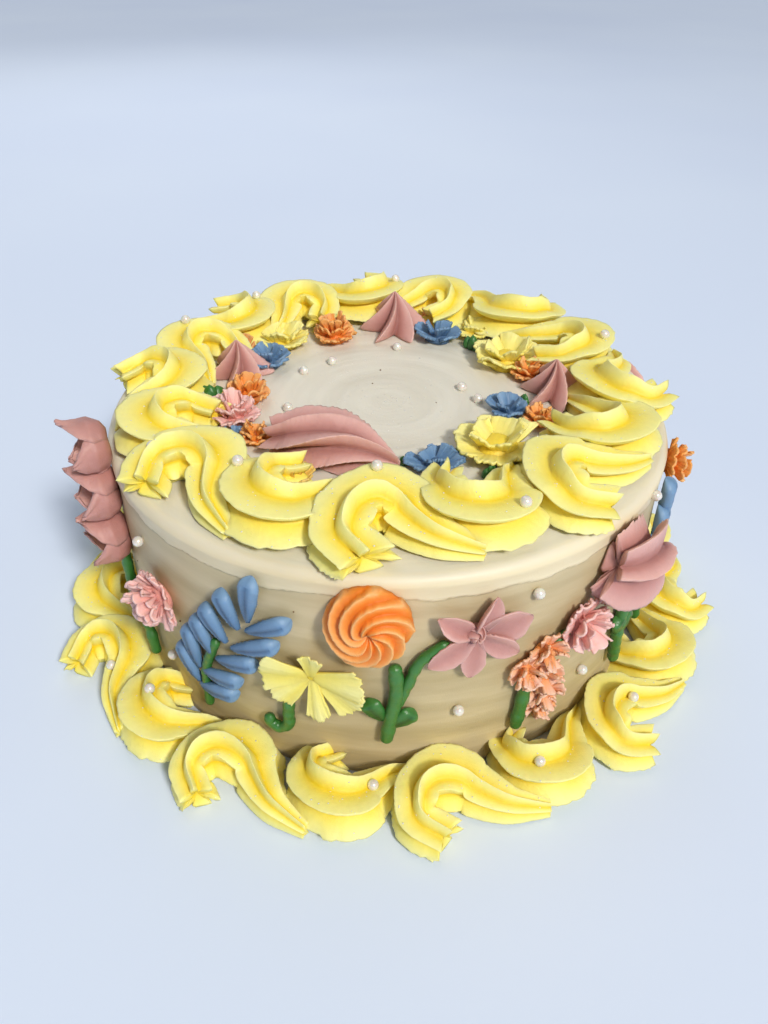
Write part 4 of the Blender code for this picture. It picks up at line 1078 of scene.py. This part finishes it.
# Stems on the wall: name, angle, height of the start, points of the line, thickness, leaves (x, y, turn)
STEMS = [
    ("stem_tulips", -157.0, 16.0, [(0, 0), (0.5, 18), (-1, 34)], 4.2, [(2, 14, -60)]),
    ("stem_pink_left", -144.0, 16.0, [(0, 0), (-4, 14), (-7, 24)], 4.2, []),
    ("fern_stem", -126.0, 15.0, [(0, 0), (1, 18), (8, 36)], 3.4, []),
    ("stem_yellow", -109.0, 21.0,
     [(-4.4, 4.2), (-4.6, 1.0), (-1.5, -0.8), (1.8, 1.6), (2.4, 8), (3, 15)], 4.0, []),
    ("stem_orange", -90.0, 21.0, [(0, 0), (1.5, 12), (3, 22), (2.4, 36)], 4.6, [(-2, 10, 30), (4, 7, -46)]),
    ("branch_mauve", -86.5, 46.0, [(-3, -8), (0, 1), (4, 12), (12, 19)], 3.6, []),
    ("stem_peach", -65.5, 17.0, [(0, 0), (1, 10), (2, 22)], 4.6, []),
    ("stem_pink_right", -58.5, 52.0, [(-3, -3), (1, 0), (5, 2)], 3.4, []),
    ("stem_rosette", -37.5, 17.0, [(0, 0), (-2, 16), (-1, 34)], 4.6, [(-4, 14, 20), (2, 12, -25)]),
    ("stem_blue", -23.5, 17.0, [(0, 0), (1, 12), (0, 26)], 4.0, []),
    ("back_stem_rosette", 22.0, 17.0, [(0, 0), (3, 16), (2, 34)], 4.6, [(4, 14, -40), (-2, 12, 35)]),
    ("back_fern_stem", 58.0, 15.0, [(0, 0), (-1, 18), (-8, 36)], 3.4, []),
    ("back_stem_orange", 92.0, 17.0, [(0, 0), (-2, 16), (-1, 38)], 4.4, [(-3, 14, 50), (2, 18, -60)]),
    ("back_stem_mauve", 128.0, 17.0, [(0, 0), (2, 16), (1, 34)], 4.2, [(3, 14, -50)]),
    ("back_stem_pink", 163.0, 17.0, [(0, 0), (-2, 12), (-1, 24)], 4.0, []),
]


def build_stems():
    for number, (name, angle, height, line, thick, leaves) in enumerate(STEMS):
        icing = Icing()
        place = on_wall(angle, height)
        flat = np.array([(x, y, 0.42 * thick) for x, y in line], float)
        icing.lay(place, tube(flat, thick, number))
        for index, (x, y, turn) in enumerate(leaves):
            leaf = leaf_stroke(11.0, 7.0, 3.6, number + index, rough=0.1, groove=0.04)
            icing.lay(place, turned(leaf, turn, (0.2 * x, y, 0.2)))
        icing.piece("green_" + name, GREEN, name, "green_icing")


build_stems()


# Petals of the fern: foot (x, y), direction, length
FERN_PETALS = [
    (-3.0, 10.0, 112, 17.0), (-1.5, 18.0, 97, 19.0), (6.0, 28.5, 108, 16.5), (12.5, 37.5, 117, 15.5),
    (18.0, 46.0, 109, 15.5), (22.0, 51.0, 82, 19.0), (-2.5, 9.5, 17, 18.0), (0.5, 18.5, 12, 17.0),
    (7.5, 28.0, 19, 17.5), (14.5, 36.5, 27, 19.5), (21.0, 47.0, 31, 18.0),
]


def build_fern(name, angle, height, side, seed):
    """Teardrop petals on both sides of a leaning line; side is -1 for the mirrored one."""
    icing = Icing()
    place = on_wall(angle, height)
    for k, (x, y, direction, length) in enumerate(FERN_PETALS):
        petal = leaf_stroke(length, 6.6, 4.6, seed + k, rough=0.22, groove=0.20)
        icing.lay(place, turned(petal, (direction - 90.0) * side, (x * side, y, 0.1 + 0.05 * k)))
    icing.piece("petals_" + name, BLUE, name, "blue_icing")


build_fern("blue_fern", -126.0, 15.0, 1, 700)
build_fern("back_blue_fern", 58.0, 15.0, -1, 740)


# Tulips on one stem: height above the lowest one's foot, radius
TULIPS = ((7.0, 10.0), (25.5, 10.0), (43.0, 9.2))
TULIP_REACH = 1.5            # how far a tulip stands out, in its own radii
TULIP_PETAL_TURNS = (82.0, 205.0, 322.0)


def build_tulips():
    icing = Icing()
    place = on_wall(-157.5, 50.0)
    for k, (y, size) in enumerate(TULIPS):
        parts = [dome(0.62 * size, 0.55 * TULIP_REACH * size, 820 + k)]
        for number, turn in enumerate(TULIP_PETAL_TURNS):
            length = TULIP_REACH * size * (1.04 - 0.07 * number)
            radius = size * (1.0 - 0.04 * number)
            tip = 3.5 if number == 0 else 2.0
            parts.append(spoon_petal(length, radius, turn + 14.0 * k, 70.0, tip, 830 + 10 * k + number))
        for part in parts:
            icing.lay(place, shifted(part, (1.0 - k, y, 0.0)))
    icing.piece("petals_mauve_tulips", MAUVE, "mauve_tulips", "mauve_icing")


build_tulips()

# Petals of the blue flower at the right: foot (x, y), turn
BLUE_PETALS = [(0.0, 0.0, 12.0), (2.0, 2.0, -14.0), (-1.0, 12.0, 6.0), (2.5, 14.0, -10.0), (0.5, 22.0, 4.0)]

# Peach frills that touch each other: place (x, y), radius
PEACH_FRILLS = [(-5.0, 8.0, 7.2), (2.0, 13.5, 7.2), (2.5, 2.0, 6.6), (3.5, -6.0, 6.8), (2.6, -12.0, 5.8)]


def build_blue_petals():
    icing = Icing()
    place = on_wall(-23.0, 42.0)
    for k, (x, y, turn) in enumerate(BLUE_PETALS):
        icing.lay(place, turned(leaf_stroke(19.0, 8.0, 5.2, 860 + k, rough=0.20), turn, (x, y, 0.2)))
    icing.piece("petals_blue", BLUE, "blue_petals", "blue_icing")


def build_peach():
    icing = Icing()
    place = on_wall(-61.8, 36.0)
    for k, (x, y, size) in enumerate(PEACH_FRILLS):
        def spot(points, shift=(x, y, 0.0)):
            return place(points + np.array(shift))
        ruffle(icing, spot, size, 880 + 50 * k, petals=0.6)
    icing.piece("frills_peach_blossoms", PEACH, "peach_blossoms", "peach_icing")


build_blue_petals()
build_peach()


def build_orange_rosette(name, angle, height, radius, seed):
    """A rosette that is a little taller than wide."""
    icing = Icing()
    points, faces, depth = whorl(radius, 0.80 * radius, 8, -2.7, seed)
    icing.add(on_wall(angle, height)(points * np.array([1.0, 1.14, 1.0])), faces, depth)
    icing.piece("blades_" + name, ORANGE, name, "orange_icing")


build_orange_rosette("orange_rosette", -93.0, 73.0, 12.5, 900)
build_orange_rosette("back_orange_rosette", 91.0, 69.0, 12.5, 903)

# Petals of the mauve wall flower: direction, length, width, how far its rim is turned up
MAUVE_PETALS = [(74, 16.0, 8.5, 2.4), (16, 17.0, 13.0, 0.3), (-34, 15.5, 8.0, 0.6), (-97, 15.5, 7.5, 0.4),
                (-149, 17.0, 8.5, 0.5), (138, 16.5, 8.0, 2.2)]

# Petals of the yellow wall flower: direction, length, width
YELLOW_PETALS = [(-33, 17.5, 13.0), (-134, 15.0, 9.5), (-80, 16.0, 8.0), (176, 15.0, 15.5), (6, 16.0, 14.5),
                 (84, 12.5, 7.5)]


def build_mauve_flower(name, angle, height, seed):
    """Six smooth petals round a small spiral eye."""
    icing = Icing()
    place = on_wall(angle, height)
    for k, (direction, length, width, fold) in enumerate(MAUVE_PETALS):
        petal = leaf_petal(length, width, fold, seed + k, lift=2.2 + 0.3 * (k % 3))
        icing.lay(place, turned(shifted(petal, (0.6, 0.0, 0.0)), direction))
    icing.lay(place, shifted(whorl(3.0, 5.2, 5, 2.0, seed + 9), (-0.6, 1.6, 0.0)))
    icing.piece("petals_" + name, MAUVE, name, "mauve_icing")


build_mauve_flower("mauve_flower", -75.0, 65.5, 920)
build_mauve_flower("back_mauve_flower", 129.0, 65.0, 940)


def build_yellow_flower(name, place, seed, size=1.0):
    """Broad fanned petals, each a little higher than the one before."""
    icing = Icing()
    for k, (direction, length, width) in enumerate(YELLOW_PETALS):
        petal = fan_petal(length * size, width * size, 1.0, 0.8, seed + k, lift=3.0 + 0.25 * k, start=0.20,
                          torn=0.04)
        icing.lay(place, turned(shifted(petal, (0.4, 0.0, 0.2 * k)), direction))
    icing.lay(place, dome(2.6 * size, 1.8, seed))
    icing.piece("petals_" + name, YELLOW, name, "lemon_icing")


build_yellow_flower("yellow_flower", on_wall(-103.0, 48.0), 960)
build_yellow_flower("back_yellow_flower", on_wall(40.0, 44.0), 980, 0.95)


# Half widths of the mauve wall flowers along their length, which stay wide for longer
ROSETTE_WIDTHS = (0.62, 0.96, 1.0, 0.88, 0.58, 0.16)


def build_shell_flower(name, angle, height, turn, size, seed):
    """Wide ridges that are drawn together into a tip at one side."""
    icing = Icing()
    ridges = shell(2.05 * size, size, 0.95 * size, (-10.0, 50.0), seed, raggedness=1.3,
                   widths=ROSETTE_WIDTHS)
    icing.lay(on_wall(angle, height, turn), ridges)
    icing.piece("ridges_" + name, MAUVE, name, "mauve_icing")


build_shell_flower("mauve_rosette", -41.0, 70.0, -24.0, 17.0, 1000)
build_shell_flower("back_mauve_rosette", 22.0, 67.0, 200.0, 16.5, 1010)


FULL_WAVES = 7               # how many waves a carnation has with all its petals


def build_carnation(name, colour, slot, place, radius, seed, stretch=1.0, waves=FULL_WAVES):
    icing = Icing()
    ruffle(icing, place, radius, seed, stretch, waves / FULL_WAVES)
    icing.piece("frills_" + name, colour, name, slot)


build_carnation("pink_carnation_left", PINK, "pink_icing", on_wall(-137.0, 53.0), 10.5, 1100)
build_carnation("pink_carnation_right", PINK, "pink_icing", on_wall(-53.0, 55.0), 9.6, 1120)
build_carnation("back_pink_carnation", PINK, "pink_icing", on_wall(162.0, 52.0), 10.5, 1140)
build_carnation("orange_flower_right", ORANGE, "orange_icing", on_wall(-14.5, 80.0), 8.0, 1160)

# Blossoms of broad soft petals on the top: name, colour, slot, angle, radius, size, stretch, tiers
TOP_BLOSSOMS = [
    ("yellow_flower_top", YELLOW, "lemon_icing", 32.0, 57.0, 13.5, 1.0, BLOSSOM_TIERS),
    ("yellow_ruffle_front", YELLOW, "lemon_icing", -44.0, 52.0, 14.0, 1.1, BLOSSOM_TIERS),
    ("yellow_ruffle_back", YELLOW, "lemon_icing", 134.0, 64.0, 10.5, 1.2, BLOSSOM_TIERS),
    ("yellow_bud_back", YELLOW, "lemon_icing", 57.0, 69.0, 8.0, 1.0, BLOSSOM_TIERS),
    ("blue_blossom_left", BLUE, "blue_icing", 150.0, 56.0, 9.0, 1.1, SMALL_TIERS),
    ("blue_blossom_back", BLUE, "blue_icing", 68.0, 57.0, 9.0, 1.1, SMALL_TIERS),
    ("blue_blossom_right", BLUE, "blue_icing", -13.0, 45.0, 7.8, 1.1, SMALL_TIERS),
    ("blue_blossom_front", BLUE, "blue_icing", -71.0, 49.0, 8.0, 1.3, SMALL_TIERS),
]

for number, (name, colour, slot, angle, radius, size, stretch, tiers) in enumerate(TOP_BLOSSOMS):
    blossom = Icing()
    ruffle(blossom, on_top(angle, radius), size, 2000 + 40 * number, stretch, rise=0.85, tiers=tiers,
           folds=BLOSSOM_FOLDS, thick=1.7)
    blossom.piece("petals_" + name, colour, name, slot)

# Small bits between the flowers: name, colour, slot, angle, radius, size, rise
SMALL_BITS = [
    ("blue_bit_left", BLUE, "blue_icing", -152.0, 61.5, 4.6, 0.85),
    ("yellow_bit_front", AMBER, "orange_icing", -118.0, 64.5, 6.2, 1.5),
]

for number, (name, colour, slot, angle, radius, size, rise) in enumerate(SMALL_BITS):
    bit = Icing()
    ruffle(bit, on_top(angle, radius), size, 2600 + 40 * number, rise=rise, tiers=SMALL_TIERS,
           folds=BLOSSOM_FOLDS, thick=1.3)
    bit.piece(name, colour, None, slot)

# Small green leaves that show between the flowers: name, angle, radius, size
SMALL_LEAVES = [
    ("leaf_bit_right", -2.9, 51.4, 3.0),
    ("leaf_bit_front", -81.7, 44.3, 2.6),
    ("leaf_bit_ruffle", -56.3, 61.0, 3.0),
]

for number, (name, angle, radius, size) in enumerate(SMALL_LEAVES):
    leaf = Icing()
    lumps(leaf, on_top(angle, radius), size, 1.3 * size, 2700 + 10 * number, 2)
    leaf.piece(name, GREEN, None, "green_icing")

# Frilled pieces on the top: name, colour, slot, angle, radius, size, stretch, waves
TOP_FRILLS = [
    ("orange_carnation", ORANGE, "orange_icing", -179.0, 53.0, 8.6, 1.0, 7),
    ("pink_carnation_top", PINK, "pink_icing", -164.5, 58.0, 8.8, 1.0, 8),
    ("orange_blossom_back", ORANGE, "orange_icing", 114.0, 57.0, 9.0, 1.0, 7),
    ("orange_bud_back", ORANGE, "orange_icing", 73.0, 73.0, 7.0, 1.0, 6),
    ("orange_blossom_right", ORANGE, "orange_icing", 19.0, 59.0, 6.6, 1.1, 6),
    ("orange_bud_right", ORANGE, "orange_icing", -16.5, 57.5, 6.2, 1.0, 5),
    ("orange_bud_left", ORANGE, "orange_icing", -147.0, 55.0, 6.0, 1.0, 5),
    ("orange_bud_behind", ORANGE, "orange_icing", 149.5, 69.5, 7.2, 1.0, 6),
]

# Clusters of small blobs on the top: name, colour, slot, angle, radius, size, stretch, blobs
TOP_LUMPS = [
    ("leaf_back", GREEN, "green_icing", 51.5, 57.0, 4.6, 1.2, 2),
    ("leaf_left", GREEN, "green_icing", -177.5, 66.5, 6.0, 1.0, 3),
]

# Stars on the top: name, angle, radius, size, stretch
TOP_STARS = [
    ("mauve_star_back", 87.5, 62.0, 14.0, 1.0),
    ("mauve_star_left", 163.0, 61.5, 12.3, 1.0),
    ("mauve_star_right", 4.0, 63.0, 12.0, 1.15),
]

for number, (name, colour, slot, angle, radius, size, stretch, waves) in enumerate(TOP_FRILLS):
    build_carnation(name, colour, slot, on_top(angle, radius), size, 1200 + 20 * number, stretch, waves)

for number, (name, colour, slot, angle, radius, size, stretch, count) in enumerate(TOP_LUMPS):
    heap = Icing()
    lumps(heap, on_top(angle, radius), size, 1.1 * size, 1500 + 10 * number, count, stretch)
    heap.piece("blobs_" + name, colour, name, slot)

for number, (name, angle, radius, size, stretch) in enumerate(TOP_STARS):
    star = Icing()
    drop = star_drop(1.06 * size, 1.25 * size, NOZZLE_FINS, 1600 + number, twist=48.0, stretch=stretch,
                     sharp=0.8, groove=0.34)
    star.lay(on_top(angle, radius), drop)
    star.piece("star_" + name, MAUVE, name, "mauve_icing")


def build_swirl():
    """A long shell with a few high ridges and a drawn-out tip."""
    icing = Icing()
    icing.lay(on_top(-115.5, 46.5, 3.0),
              shell(46.0, 15.5, 16.5, (-30.0, 60.0), 1700, bow=0.05, raggedness=1.6))
    icing.piece("ridged_mauve_swirl", MAUVE, "mauve_swirl", "mauve_icing")


build_swirl()


# Floor, lights and camera

# Lamps: name, kind, place in metres, size (degrees for the sun, metres for the others), power
LAMPS = (
    ("key", "SUN", (0.46, -0.80, 0.84), 8.0, 2.15),
    ("near_key", "AREA", (0.30, -0.70, 0.80), 0.25, 2.4),
    ("top", "AREA", (-0.1, 0.3, 1.2), 0.7, 1.4),
    ("back", "AREA", (-0.4, 1.1, 0.8), 0.8, 2.2),
)
LAMP_COLOUR = (1.0, 0.97, 0.91)
AIM = np.array([0.0, 0.0, 0.06])

# The studio's light, from the horizon upwards
SKY = [(0.0, (0.46, 0.50, 0.56)), (0.10, (0.40, 0.44, 0.50)), (0.35, (0.20, 0.22, 0.25))]
FLOOR_HALF = 8.0


def build_floor():
    mesh = bpy.data.meshes.new("floor")
    corners = [(x * FLOOR_HALF, y * FLOOR_HALF, 0.0) for x, y in ((-1, -1), (1, -1), (1, 1), (-1, 1))]
    mesh.from_pydata(corners, [], [(0, 1, 2, 3)])
    floor = bpy.data.objects.new("floor", mesh)
    bpy.context.scene.collection.objects.link(floor)
    shades = ((0.69, 0.78, 0.96), (0.73, 0.82, 0.98))
    material, shader = drifting_material("pale_floor", 2.0, 2.0, shades, 0.0, 0.9)
    shader.inputs["Specular IOR Level"].default_value = 0.0
    floor.data.materials.append(material)


def build_sky():
    world = bpy.data.worlds.new("studio")
    bpy.context.scene.world = world
    world.use_nodes = True
    sky = world.node_tree
    coordinates = sky.nodes.new("ShaderNodeTexCoord")
    split = sky.nodes.new("ShaderNodeSeparateXYZ")
    sky.links.new(coordinates.outputs["Generated"], split.inputs[0])
    sky.links.new(ramp(sky, split.outputs["Z"], SKY), sky.nodes["Background"].inputs["Color"])
    sky.nodes["Background"].inputs["Strength"].default_value = 1.0


def build_lamps():
    for name, kind, place, size, power in LAMPS:
        lamp = bpy.data.lights.new(name, kind)
        if kind == "SUN":
            lamp.angle = math.radians(size)
        else:
            lamp.size = size
        lamp.color = LAMP_COLOUR
        lamp.energy = power
        made = bpy.data.objects.new(name, lamp)
        made.location = place
        made.rotation_mode = "QUATERNION"
        made.rotation_quaternion = Vector(AIM - np.array(place)).to_track_quat("-Z", "Y")
        bpy.context.scene.collection.objects.link(made)


# The photo's viewpoint, worked out from the board's rim and the cake's wall
CAMERA_PLACE = (-0.0012, -0.284, 0.248)
CAMERA_DIP = math.radians(36.7)
CAMERA_ROLL = math.radians(0.45)
FOCAL_PIXELS = 850.0
PICTURE_HEIGHT = 1024.0
SENSOR = 36.0


def build_camera():
    right = np.array([1.0, 0.0, 0.0])
    up = np.array([0.0, math.sin(CAMERA_DIP), math.cos(CAMERA_DIP)])
    back = np.array([0.0, -math.cos(CAMERA_DIP), math.sin(CAMERA_DIP)])
    rolled_right = math.cos(CAMERA_ROLL) * right + math.sin(CAMERA_ROLL) * up
    rolled_up = -math.sin(CAMERA_ROLL) * right + math.cos(CAMERA_ROLL) * up
    lens = bpy.data.cameras.new("photo_view")
    lens.sensor_width = SENSOR
    lens.lens = SENSOR * FOCAL_PIXELS / PICTURE_HEIGHT
    camera = bpy.data.objects.new("photo_view", lens)
    rows = [[rolled_right[i], rolled_up[i], back[i], CAMERA_PLACE[i]] for i in range(3)]
    camera.matrix_world = Matrix(rows + [[0.0, 0.0, 0.0, 1.0]])
    bpy.context.scene.collection.objects.link(camera)
    bpy.context.scene.camera = camera


build_floor()
build_sky()
build_lamps()
build_camera()
bpy.context.scene.view_settings.view_transform = "Standard"
